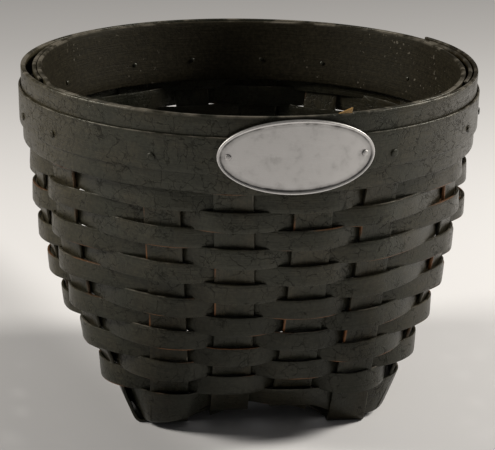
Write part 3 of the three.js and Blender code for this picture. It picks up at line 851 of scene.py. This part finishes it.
class WeaverRow:
    """One row of weaving: in front of every other upright and behind the rest.

    A straight strip can't follow a wall that narrows, so its lower edge stands off the wall.
    """

    LEAST_TILT = 0.05
    UPRIGHTNESS = 0.5
    LAST_UPRIGHTNESS = 0.1
    OVER_LEAN = 0.2
    UNDER_RECESS = 0.7

    # Unevenness of the bow over each upright, and of the row's level
    BOW_SHARE = 0.16
    BOW_SPREAD = (3.7, 1.9, 4.2)
    SLIP = 0.00022
    SLIP_SPREAD = (0.8, 5.3, 1.7)

    def __init__(self, wall, row):
        self.wall = wall
        self.row = row
        sizes = wall.sizes
        odd = row % 2
        self.lap_start = PER_FACE + 1 + 2 * (((PER_FACE - 1) * row) % FACES) + odd
        self.lapped = sizes.weaver_thickness + FIT
        self.reach = sizes.upright_thickness / 2 + FIT + sizes.weaver_thickness / 2
        self.middle = sizes.band_height + sizes.row_drop + (row - 0.5) * sizes.weaver_width
        half = sizes.weaver_width / 2
        narrowing = wall.half_width(self.middle - half) - wall.half_width(self.middle + half)
        uprightness = self.LAST_UPRIGHTNESS if row == ROWS else self.UPRIGHTNESS
        self.tilt = self.LEAST_TILT + uprightness * narrowing / sizes.weaver_width
        self.lean = self.tilt * half
        self.hidden = row < 1
        if self.hidden:
            gap = FIT / 2 * EDGE / wall.flat_half
            self.start = self.lap_start + 1 + gap
            self.end = self.lap_start + 1 + UPRIGHTS - gap
        else:
            self.start = self.lap_start - EDGE
            self.end = self.lap_start + UPRIGHTS + 1 + EDGE

    def crossing(self, upright):
        """Offset of the row's middle where it crosses an upright."""
        bow = 0.0 if self.hidden else self.wall.sizes.weaver_bow
        uneven = 1 + self.BOW_SHARE * ripple(self.BOW_SPREAD, self.row, upright % UPRIGHTS)
        reach = self.reach + bow * uneven
        if (self.row + upright) % 2 == 1:
            lapped = upright == self.lap_start + UPRIGHTS and not self.hidden
            return reach + self.OVER_LEAN * self.lean + (self.lapped if lapped else 0.0)
        lapped = upright == self.lap_start + 1 and not self.hidden
        behind = self.lean + self.UNDER_RECESS * self.wall.recess(self.middle)
        return -reach - behind - (self.lapped if lapped else 0.0)

    def bend(self, place, across, out):
        """Place in the basket of a point of the strip: along it, across it and out of it."""
        upright = math.floor(place)
        ease = (1 - math.cos(math.pi * (place - upright))) / 2
        offset = mix(self.crossing(upright), self.crossing(upright + 1), ease)
        slip = self.SLIP * ripple(self.SLIP_SPREAD, place, self.row)
        drop = self.middle + slip - across
        return self.wall.level_point(place, drop, offset + out - self.tilt * across)


class BASKET_OT_weavers(bpy.types.Operator):
    """Make the rows of weaving, each a strip of its own with lapped ends"""

    bl_idname = "basket.weavers"
    bl_label = "Weavers"

    STEPS_PER_PLACE = 14
    STEPS_ACROSS = 4
    ROUNDING = 0.00032
    PLACE_LENGTH = 0.04
    OVERLAP = 0.0007
    TOP_TUCK = 0.0026
    FOOT_TUCK = 0.011
    FOOT_POWER = 4

    # Bare edges in front of the uprights: their raggedness, where it bares the lower and the upper
    # edge, and how bare the upper edge gets
    BARE_SPREAD = (2.1, 2.3, 9.4)
    BARE_CONTRAST = 4
    FRONT_CONTRAST = 2
    LOW_FROM = 0.9
    HIGH_FROM = 1.2
    HIGH_SHARE = 0.6

    def execute(self, context):
        wall = BasketWall(context.scene.basket_sizes)
        paint = finish_named("weaver_paint", crackle_paint, brownness=0.35, sheen=0.32)
        for row in range(1 - HIDDEN_ROWS, ROWS + 1):
            node = f"weaver_row_{row:02d}" if row > 0 else f"rim_weaver_{1 - row}"
            piece = add_piece(node + "_painted", self.strip(wall, row), paint)
            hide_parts(node)
        return {"FINISHED"}

    def strip(self, wall, row):
        """One row, bent in and out round the uprights, with its edges pressed against the next rows."""
        sizes = wall.sizes
        weaver = WeaverRow(wall, row)
        places = weaver.end - weaver.start
        width = sizes.weaver_width + self.OVERLAP
        size = (places * self.PLACE_LENGTH, width, sizes.weaver_thickness)
        steps = (round(places * self.STEPS_PER_PLACE), self.STEPS_ACROSS)
        shape = flat_strip(size, steps, self.ROUNDING)

        def bare(spot):
            place = weaver.start + spot.x / self.PLACE_LENGTH
            front = smooth(self.FRONT_CONTRAST * math.cos(math.pi * (place - row - 1)))
            ragged = self.BARE_CONTRAST * ripple(self.BARE_SPREAD, place, row)
            high = self.HIGH_SHARE * smooth(-ragged - self.HIGH_FROM)
            return front * (smooth(ragged - self.LOW_FROM) - high)

        mark_strip(shape, width, row, bare)
        for vert in shape.verts:
            place = weaver.start + vert.co.x / self.PLACE_LENGTH
            tucked = self.tuck(row, place, vert.co.y / width)
            vert.co = weaver.bend(place, vert.co.y + tucked, vert.co.z)
        return shape

    def tuck(self, row, place, share):
        """How far the first row goes up behind the bands, and the last one down at the corners."""
        if row == 1:
            return self.TOP_TUCK * max(0.0, share)
        if row == ROWS:
            corner = math.sin(math.pi * (place - (PER_FACE - 1) / 2) / PER_FACE) ** self.FOOT_POWER
            return self.FOOT_TUCK * min(0.0, share) * corner
        return 0.0


# Rim bands


class RimBand:
    """A band bent once round the rim, with both ends shaved where they lap.

    Its side is 1 outside the uprights and -1 inside them.
    """

    # Shares of a lap between which its layers move from its start's spacing to its end's
    EASE_FROM = 0.35
    EASE_OVER = 0.5

    # How much of the give is left below the flared top of a lap
    FLARED_DEPTH = 0.014
    UNFLARED_GIVE = 0.6

    # Settings that only some bands change: how far the layers are pushed apart at the end of the lap,
    # how far they give, what is cut off both ends, how far the end rises and the band underneath
    end_push = 0.0
    give = 0.0
    cut_start = 0.0
    cut_end = 0.0
    end_rise = 0.0
    under = None

    def __init__(self, node, side, height, thickness, end_thickness, lap):
        self.node = node
        self.side = side
        self.height = height
        self.thickness = thickness
        self.end_thickness = end_thickness
        self.start = lap[0] - EDGE
        self.lap = lap[1] - OPEN
        self.push = end_thickness + FIT
        self.drop = 0.0
        self.near = 0.0

    @property
    def far_push(self):
        """How far the layers are pushed apart at the end of the lap."""
        return self.end_push or self.push

    def eased(self, past):
        """0 at the start of the lap, 1 at its end."""
        return smooth((past / self.lap - self.EASE_FROM) / self.EASE_OVER)

    def bulge(self, place):
        """How far the layer over the lap is pushed away from the wall."""
        past = (place - self.start) % UPRIGHTS
        if past <= self.lap:
            return mix(self.push, self.far_push, self.eased(past))
        if past >= UPRIGHTS - OPEN:
            return self.push * smooth((past - UPRIGHTS + OPEN) / OPEN)
        return self.far_push * (1 - smooth((past - self.lap) / OPEN))

    def offset(self, place, share, depth):
        """Distance from the uprights to a share of the band's thickness."""
        past = place - self.start
        near = self.near + (self.under.bulge(place) if self.under else 0.0)
        spare = self.thickness - self.end_thickness
        if past <= self.lap:
            flared = max(0.0, 1 - max(0.0, depth) / self.FLARED_DEPTH)
            give = self.give * (1 - self.eased(past)) * mix(self.UNFLARED_GIVE, 1.0, flared)
            return near - give + share * (self.end_thickness + spare * max(0.0, past) / self.lap)
        pushed = 0.0
        if past >= UPRIGHTS - OPEN:
            pushed = self.bulge(min(place, self.start + UPRIGHTS + self.lap))
        shaved = spare * max(0.0, (past - UPRIGHTS) / self.lap)
        return near + pushed + mix(shaved, self.thickness, share)

    def cover(self, place):
        """Distance from the uprights to the band's outermost face."""
        under = self.under.bulge(place) if self.under else 0.0
        return self.near + under + self.thickness + self.bulge(place)


def rim_bands(wall):
    """The outer, inner and trim bands, each with its lap's first place and the places that it spans."""
    sizes = wall.sizes
    thickness = sizes.band_thickness
    outer = RimBand("outer_rim_band", 1, sizes.band_height, thickness, BAND_END_THICKNESS, (4, 4))
    inner = RimBand("inner_rim_band", -1, sizes.inner_band_height, thickness, BAND_END_THICKNESS, (12, 3))
    trim = RimBand("trim_band", 1, sizes.trim_height, sizes.trim_thickness, TRIM_END_THICKNESS, (9, 3))
    outer.near = wall.band_near
    inner.near = wall.band_near
    trim.near = wall.trim_near
    trim.drop = wall.trim_drop
    trim.under = outer
    outer.push = 0.0004
    outer.end_push = 0.0019
    outer.give = 0.0022
    outer.cut_start = 0.5
    outer.cut_end = 0.3
    outer.end_rise = 0.0012
    return outer, inner, trim


class BASKET_OT_rim_bands(bpy.types.Operator):
    """Make the outer, inner and trim bands of the rim"""

    bl_idname = "basket.rim_bands"
    bl_label = "Rim bands"

    STEPS_PER_PLACE = 12
    STEPS_ACROSS = 8
    PLACE_LENGTH = 0.046
    ROUNDING_SHARE = 0.3
    WAVE = 0.00018
    WAVE_SPREAD = (0.7, 3.0, 40)
    SLIP = 0.0003
    SLIP_SPREAD = (0.45, 8.1, 2.0)
    INNER_SAG = 0.0008
    SAG_DEPTH = 0.006
    SAG_POWER = 4

    def execute(self, context):
        wall = BasketWall(context.scene.basket_sizes)
        paint = finish_named("band_paint", crackle_paint, brownness=0.4, sheen=0.33, wear=0.43)
        for order, band in enumerate(rim_bands(wall)):
            piece = add_piece(band.node + "_painted", self.strip(wall, band, order), paint)
            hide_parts(band.node)
        return {"FINISHED"}

    def strip(self, wall, band, order):
        """One band, bent round the rim."""
        places = UPRIGHTS + band.lap - band.cut_start - band.cut_end
        size = (places * self.PLACE_LENGTH, band.height, band.thickness)
        steps = (round(places * self.STEPS_PER_PLACE), self.STEPS_ACROSS)
        shape = flat_strip(size, steps, self.ROUNDING_SHARE * band.thickness, segments=3)

        # The inside of the inner band is dull and painted darker as shade
        def dull_and_shaded(spot):
            return 1.0 if band.side < 0 and spot.z < 0 else 0.0

        mark_strip(shape, band.height, order, dull_and_shaded=dull_and_shaded)
        for vert in shape.verts:
            vert.co = self.bend(wall, band, vert.co.copy())
        return shape

    def bend(self, wall, band, flat):
        """Moves a point of the flat band to its place on the rim. The inner band laps the other way."""
        past = band.cut_start + flat.x / self.PLACE_LENGTH
        place = band.start + past
        counted = place if band.side > 0 else 2 * band.start + UPRIGHTS + band.lap - place
        depth = band.drop + band.height / 2 - flat.y
        share = 0.5 + band.side * flat.z / band.thickness
        angle = wall.angle_at(place, wall.trim_drop)
        offset = band.side * band.offset(counted, share, depth)
        offset += self.WAVE * ripple(self.WAVE_SPREAD, place, band.side, flat.y)
        slip = self.SLIP * ripple(self.SLIP_SPREAD, place, 1, band.side)
        slip -= band.end_rise * smooth((past - UPRIGHTS) / band.lap)
        if band.side < 0:
            offset += wall.pinch(angle, depth)
            sag = self.INNER_SAG * math.cos(angle) ** self.SAG_POWER
            slip += sag * max(0.0, 1 - depth / self.SAG_DEPTH)
        return wall.rim_point(angle, depth + slip, offset)


# Tacks and plate

# Shape of a nail's head: the share of its height that is a straight edge, the points of its dome
# and how round the dome is
HEAD_EDGE = 0.3
HEAD_DEGREES = (25, 50, 70)
HEAD_ROUNDNESS = 0.7


def lathe(outline, segments):
    """Closed round piece spun about +Z from points of its half outline."""
    shape = bmesh.new()
    verts = [shape.verts.new((radius, 0, height)) for radius, height in outline]
    edges = [shape.edges.new(pair) for pair in zip(verts, verts[1:])]
    bmesh.ops.spin(
        shape,
        geom=verts + edges,
        axis=(0, 0, 1),
        cent=(0, 0, 0),
        angle=math.tau,
        steps=segments,
        use_merge=True,
    )
    bmesh.ops.remove_doubles(shape, verts=shape.verts, dist=0.00001)
    bmesh.ops.recalc_face_normals(shape, faces=shape.faces)
    return shape


def stand_on(shape, point, out):
    """Stands a round piece's +Z on a direction, at a point."""
    turn = Vector((0, 0, 1)).rotation_difference(out).to_matrix().to_4x4()
    bmesh.ops.transform(shape, matrix=Matrix.Translation(point) @ turn, verts=shape.verts)
    return shape


def domed_head(radius, height, shank):
    """Half outline of a nail's head from its shank to its middle, rounded over."""
    points = [(shank, 0.0), (radius, 0.0), (radius, HEAD_EDGE * height)]
    for degrees in HEAD_DEGREES:
        angle = math.radians(degrees)
        level = HEAD_EDGE + (1 - HEAD_EDGE) * math.sin(angle)
        points.append((radius * math.cos(angle) ** HEAD_ROUNDNESS, height * level))
    return points + [(0.0, height)]


class BASKET_OT_tacks(bpy.types.Operator):
    """Make the tacks that go through the bands and are clenched inside"""

    bl_idname = "basket.tacks"
    bl_label = "Tacks"

    HEAD_HEIGHT = 0.0006
    SHANK_RADIUS = 0.0006
    CLENCH_RADIUS = 0.0011
    CLENCH_HEIGHT = 0.0005
    SEGMENTS = 24

    # Half outline of the clenched point, in shares of its radius and height
    CLENCH_OUTLINE = ((0.0, 1.0), (0.7, 0.8), (1.0, 0.3), (1.0, 0.0))

    # Unevenness of the hammered head
    HAMMERED = 0.14
    HAMMER_SPREAD = (700, 700, 1.3)

    def execute(self, context):
        wall = BasketWall(context.scene.basket_sizes)
        sizes = wall.sizes
        paint = finish_named("tack_paint", crackle_paint, brownness=0.3, sheen=0.38)
        _, inner, trim = rim_bands(wall)
        depth = wall.tack_depth
        plate = PlateSeat(wall)
        half_angle = sizes.plate_width / 2 / (plate.radius + plate.seat)
        number = 0
        for upright in range(UPRIGHTS):
            point, _, out = wall.seat(upright, depth)
            if abs(azimuth(point) - plate.angle) < half_angle:
                continue
            number += 1
            node = f"rim_tack_{number:02d}"
            head = trim.cover(upright) + FIT
            reach = head + inner.cover(upright) + FIT - wall.pinch(azimuth(point), depth)
            shape = self.tack(sizes, reach, number)
            mark_strip(shape, 1.0, number)
            stand_on(shape, point + out * head, out)
            piece = add_piece(node + "_painted", shape, paint)
            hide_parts(node)
        return {"FINISHED"}

    def tack(self, sizes, reach, number):
        """One tack with a hammered head and a clenched point."""
        outline = [
            (wide * self.CLENCH_RADIUS, -reach - tall * self.CLENCH_HEIGHT)
            for wide, tall in self.CLENCH_OUTLINE
        ]
        outline.append((self.SHANK_RADIUS, -reach))
        outline += domed_head(sizes.tack_radius, self.HEAD_HEIGHT, self.SHANK_RADIUS)
        shape = lathe(outline, self.SEGMENTS)
        for vert in shape.verts:
            hammered = 1 + self.HAMMERED * ripple(self.HAMMER_SPREAD, vert.co.x, vert.co.y, number)
            if vert.co.z > 0:
                vert.co.x *= hammered
                vert.co.y *= hammered
                vert.co.z *= hammered
        return shape


class PlateSeat:
    """Where the oval plate lies on the trim band."""

    ANGLE = 4.6

    def __init__(self, wall):
        sizes = wall.sizes
        self.wall = wall
        self.angle = math.radians(self.ANGLE)
        self.drop = sizes.band_height - sizes.plate_rise
        self.radius = wall.outline_radius(self.angle, self.drop)
        trim = wall.outline_radius(self.angle, wall.trim_drop) + wall.trim_near + sizes.trim_thickness
        self.seat = math.hypot(trim, wall.flat_half) - self.radius + FIT

    def bend(self, spot):
        """Moves a point of the flat plate, X right, Y up and Z out, onto the rim."""
        angle = self.angle + spot.x / (self.radius + self.seat)
        radius = self.radius + self.seat + spot.z
        level = self.wall.height - self.drop + spot.y
        return Vector((radius * math.sin(angle), -radius * math.cos(angle), level))


class BASKET_OT_plate(bpy.types.Operator):
    """Make the bare oval plate with its raised rim, and its two pins"""

    bl_idname = "basket.plate"
    bl_label = "Oval plate"

    THICKNESS = 0.0012
    RIM_WIDTH = 0.0011
    RIM_RISE = 0.0007
    RIM_SLOPE = 0.0006
    FIELD_RINGS = 14
    SEGMENTS = 160
    PIN_INSET = 0.0052
    PIN_HEIGHT = 0.0006
    PIN_SHANK = 0.0006
    PIN_LENGTH = 0.006
    PIN_SEGMENTS = 24

    # How dark the pewter is round the foot of a pin, on its top and on the plate's back
    PIN_FOOT_SHARE = 0.4
    PIN_FOOT_DARK = 0.9
    PIN_TOP_DARK = 0.15
    BACK_DARK = 0.6

    def execute(self, context):
        wall = BasketWall(context.scene.basket_sizes)
        sizes = wall.sizes
        seat = PlateSeat(wall)
        pewter = finish_named("cast_pewter", cast_pewter)
        shape = self.plate(sizes)
        for vert in shape.verts:
            vert.co = seat.bend(vert.co)
        piece = add_piece("oval_plate_cast", shape, pewter, sharp_angle=60)
        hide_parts("oval_plate")
        for side, name in ((-1, "left"), (1, "right")):
            node = f"plate_pin_{name}"
            spot = Vector((side * (sizes.plate_width / 2 - self.PIN_INSET), 0, 0))
            foot = seat.bend(spot)
            out = Vector((foot.x, foot.y, 0)).normalized()
            head = self.THICKNESS + FIT
            shape = stand_on(self.pin(sizes), foot + out * head, out)
            piece = add_piece(node + "_cast", shape, pewter)
            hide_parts(node)
        return {"FINISHED"}

    def pin(self, sizes):
        """One pin, dark round its foot."""
        outline = [(0.0, -self.PIN_LENGTH), (self.PIN_SHANK, -self.PIN_LENGTH)]
        outline += domed_head(sizes.pin_radius, self.PIN_HEIGHT, self.PIN_SHANK)
        shape = lathe(outline, self.PIN_SEGMENTS)
        recess = shape.verts.layers.float.new("recess")
        for vert in shape.verts:
            low = vert.co.z < self.PIN_FOOT_SHARE * self.PIN_HEIGHT
            vert[recess] = self.PIN_FOOT_DARK if low else self.PIN_TOP_DARK
        return shape

    def rings(self):
        """Rings of the plate's raised rim from its back edge to its field: inset, level and recess."""
        top = self.THICKNESS + self.RIM_RISE
        face = self.THICKNESS
        return [
            (0.0, 0.0, self.BACK_DARK),
            (0.0, 0.7 * top, 0.2),
            (0.1 * self.RIM_WIDTH, 0.9 * top, 0.0),
            (0.3 * self.RIM_WIDTH, top, 0.0),
            (0.7 * self.RIM_WIDTH, top, 0.0),
            (self.RIM_WIDTH, 0.93 * top, 0.0),
            (self.RIM_WIDTH + 0.5 * self.RIM_SLOPE, 0.55 * (top + face), 0.7),
            (self.RIM_WIDTH + self.RIM_SLOPE, face, 1.0),
            (self.RIM_WIDTH + 2.2 * self.RIM_SLOPE, face, 0.35),
        ]

    def plate(self, sizes):
        """The flat plate, from rings drawn in from its outer edge."""
        shape = bmesh.new()
        recess = shape.verts.layers.float.new("recess")
        half = (sizes.plate_width / 2, sizes.plate_height / 2)
        made = bmesh.ops.create_circle(shape, cap_ends=False, radius=1.0, segments=self.SEGMENTS)
        outer = made["verts"]
        angles = {vert: math.atan2(vert.co.y, vert.co.x) for vert in outer}
        rings = self.rings()
        edge_loop = shape.edges[:]

        def place(verts, inset, shrink, level, dark):
            for vert in verts:
                angle = math.atan2(vert.co.y / half[1], vert.co.x / half[0])
                if vert in angles:
                    angle = angles[vert]
                x = (half[0] - inset) * shrink * math.cos(angle)
                y = (half[1] - inset) * shrink * math.sin(angle)
                vert.co = (x, y, level)
                vert[recess] = dark
                angles[vert] = angle

        def draw_in(edges, inset, shrink, level, dark):
            grown = bmesh.ops.extrude_edge_only(shape, edges=edges)
            verts = [item for item in grown["geom"] if isinstance(item, bmesh.types.BMVert)]
            place(verts, inset, shrink, level, dark)
            made_verts = set(verts)
            made_edges = [item for item in grown["geom"] if isinstance(item, bmesh.types.BMEdge)]
            return [edge for edge in made_edges if made_verts.issuperset(edge.verts)]

        place(outer, rings[0][0], 1.0, rings[0][1], rings[0][2])
        loop = edge_loop
        for inset, level, dark in rings[1:]:
            loop = draw_in(loop, inset, 1.0, level, dark)
        last_inset = rings[-1][0]
        for ring in range(1, self.FIELD_RINGS):
            loop = draw_in(loop, last_inset, 1 - ring / self.FIELD_RINGS, self.THICKNESS, 0.0)
        bmesh.ops.edgeloop_fill(shape, edges=loop)
        back = edge_loop
        for ring in range(1, self.FIELD_RINGS):
            back = draw_in(back, 0.0, 1 - ring / self.FIELD_RINGS, 0.0, self.BACK_DARK)
        bmesh.ops.edgeloop_fill(shape, edges=back)
        bmesh.ops.recalc_face_normals(shape, faces=shape.faces)
        return shape


# Stage


class BASKET_OT_stage(bpy.types.Operator):
    """Make the pale floor, the soft lights and the camera"""

    bl_idname = "basket.stage"
    bl_label = "Stage"

    FLOOR_SIZE = 12.0
    CAMERA_TURN = 6.893
    CAMERA_PITCH = 16.755
    CAMERA_ROLL = 0.95
    CAMERA_DISTANCE = 1.05007
    CAMERA_SHIFT_RIGHT = 0.000624
    CAMERA_ABOVE_RIM = 0.2293
    CAMERA_CLIP = (0.05, 50.0)
    LENS = 152.4
    SENSOR = 36.0

    # Name, place, size, power and tint of each lamp
    LIGHTS = (
        ("light_right", (1.3, 0.2, 0.92), (0.45, 0.45), 23.3, (1.0, 0.955, 0.87)),
        ("light_left", (-1.3, 0.15, 0.92), (0.45, 0.45), 18.8, (1.0, 0.955, 0.87)),
    )
    LIGHT_AIM = Vector((0, 0, 0.09))
    WORLD_COLOUR = (1.0, 0.985, 0.965)
    WORLD_STRENGTH = 0.08

    def execute(self, context):
        self.floor()
        for light in self.LIGHTS:
            self.light(*light)
        self.world(context.scene)
        self.camera(context.scene)
        context.scene.view_settings.view_transform = "Standard"
        return {"FINISHED"}

    def floor(self):
        """One wide flat floor."""
        shape = bmesh.new()
        bmesh.ops.create_grid(shape, x_segments=1, y_segments=1, size=self.FLOOR_SIZE / 2)
        mesh = bpy.data.meshes.new("floor")
        shape.to_mesh(mesh)
        shape.free()
        mesh.materials.append(finish_named("pale_floor", pale_floor))
        floor = bpy.data.objects.new("floor", mesh)
        bpy.context.scene.collection.objects.link(floor)
        floor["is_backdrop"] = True

    def light(self, name, place, size, power, tint):
        """One soft box that looks at the basket."""
        lamp = bpy.data.lights.new(name, "AREA")
        lamp.shape = "RECTANGLE"
        lamp.size, lamp.size_y = size
        lamp.energy = power
        lamp.color = tint
        light = bpy.data.objects.new(name, lamp)
        light.location = place
        aim = self.LIGHT_AIM - light.location
        light.rotation_mode = "QUATERNION"
        light.rotation_quaternion = aim.to_track_quat("-Z", "Y")
        bpy.context.scene.collection.objects.link(light)

    def world(self, scene):
        """Even soft light from all round."""
        world = bpy.data.worlds.new("studio")
        world.use_nodes = True
        background = world.node_tree.nodes["Background"]
        background.inputs["Color"].default_value = solid(self.WORLD_COLOUR)
        background.inputs["Strength"].default_value = self.WORLD_STRENGTH
        scene.world = world

    def camera(self, scene):
        """The camera, where the view of the rim and the weave puts it."""
        data = bpy.data.cameras.new("camera")
        data.lens = self.LENS
        data.sensor_width = self.SENSOR
        data.clip_start, data.clip_end = self.CAMERA_CLIP
        camera = bpy.data.objects.new("camera", data)
        turn = Matrix.Rotation(math.radians(-self.CAMERA_TURN), 4, "Z")
        height = scene.basket_sizes.rim_height + self.CAMERA_ABOVE_RIM
        place = Matrix.Translation((self.CAMERA_SHIFT_RIGHT, -self.CAMERA_DISTANCE, height))
        pitch = Matrix.Rotation(math.radians(90 - self.CAMERA_PITCH), 4, "X")
        roll = Matrix.Rotation(math.radians(self.CAMERA_ROLL), 4, "Z")
        camera.matrix_world = turn @ place @ pitch @ roll
        scene.collection.objects.link(camera)
        scene.camera = camera


class BASKET_PT_panel(bpy.types.Panel):
    """Lists the basket's pieces"""

    bl_idname = "BASKET_PT_panel"
    bl_label = "Splint Basket"
    bl_space_type = "VIEW_3D"
    bl_region_type = "UI"
    bl_category = "Basket"

    def draw(self, context):
        for operator in PIECES:
            self.layout.operator(operator.bl_idname)
        for group in (context.scene.basket_sizes, context.scene.basket_finish):
            column = self.layout.column()
            for key in group.__annotations__:
                column.prop(group, key)


PIECES = (
    BASKET_OT_uprights,
    BASKET_OT_weavers,
    BASKET_OT_rim_bands,
    BASKET_OT_tacks,
    BASKET_OT_plate,
    BASKET_OT_stage,
)
CLASSES = (BasketSizes, BasketFinish, *PIECES, BASKET_PT_panel)


def register():
    """Registers the classes and the scene's settings."""
    for each in CLASSES:
        bpy.utils.register_class(each)
    bpy.types.Scene.basket_sizes = bpy.props.PointerProperty(type=BasketSizes)
    bpy.types.Scene.basket_finish = bpy.props.PointerProperty(type=BasketFinish)


def unregister():
    """Takes away what register added."""
    del bpy.types.Scene.basket_finish
    del bpy.types.Scene.basket_sizes
    for each in reversed(CLASSES):
        bpy.utils.unregister_class(each)


def main():
    """Builds the basket and its stage, and works out the two boxes."""
    register()
    bpy.ops.basket.uprights()
    bpy.ops.basket.weavers()
    bpy.ops.basket.rim_bands()
    bpy.ops.basket.tacks()
    bpy.ops.basket.plate()
    bpy.ops.basket.stage()
    boxes = {"cad": cad_box, "visual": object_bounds()}
    {name: [list(corner) for corner in box] for name, box in boxes.items()}


if __name__ == "__main__":
    main()
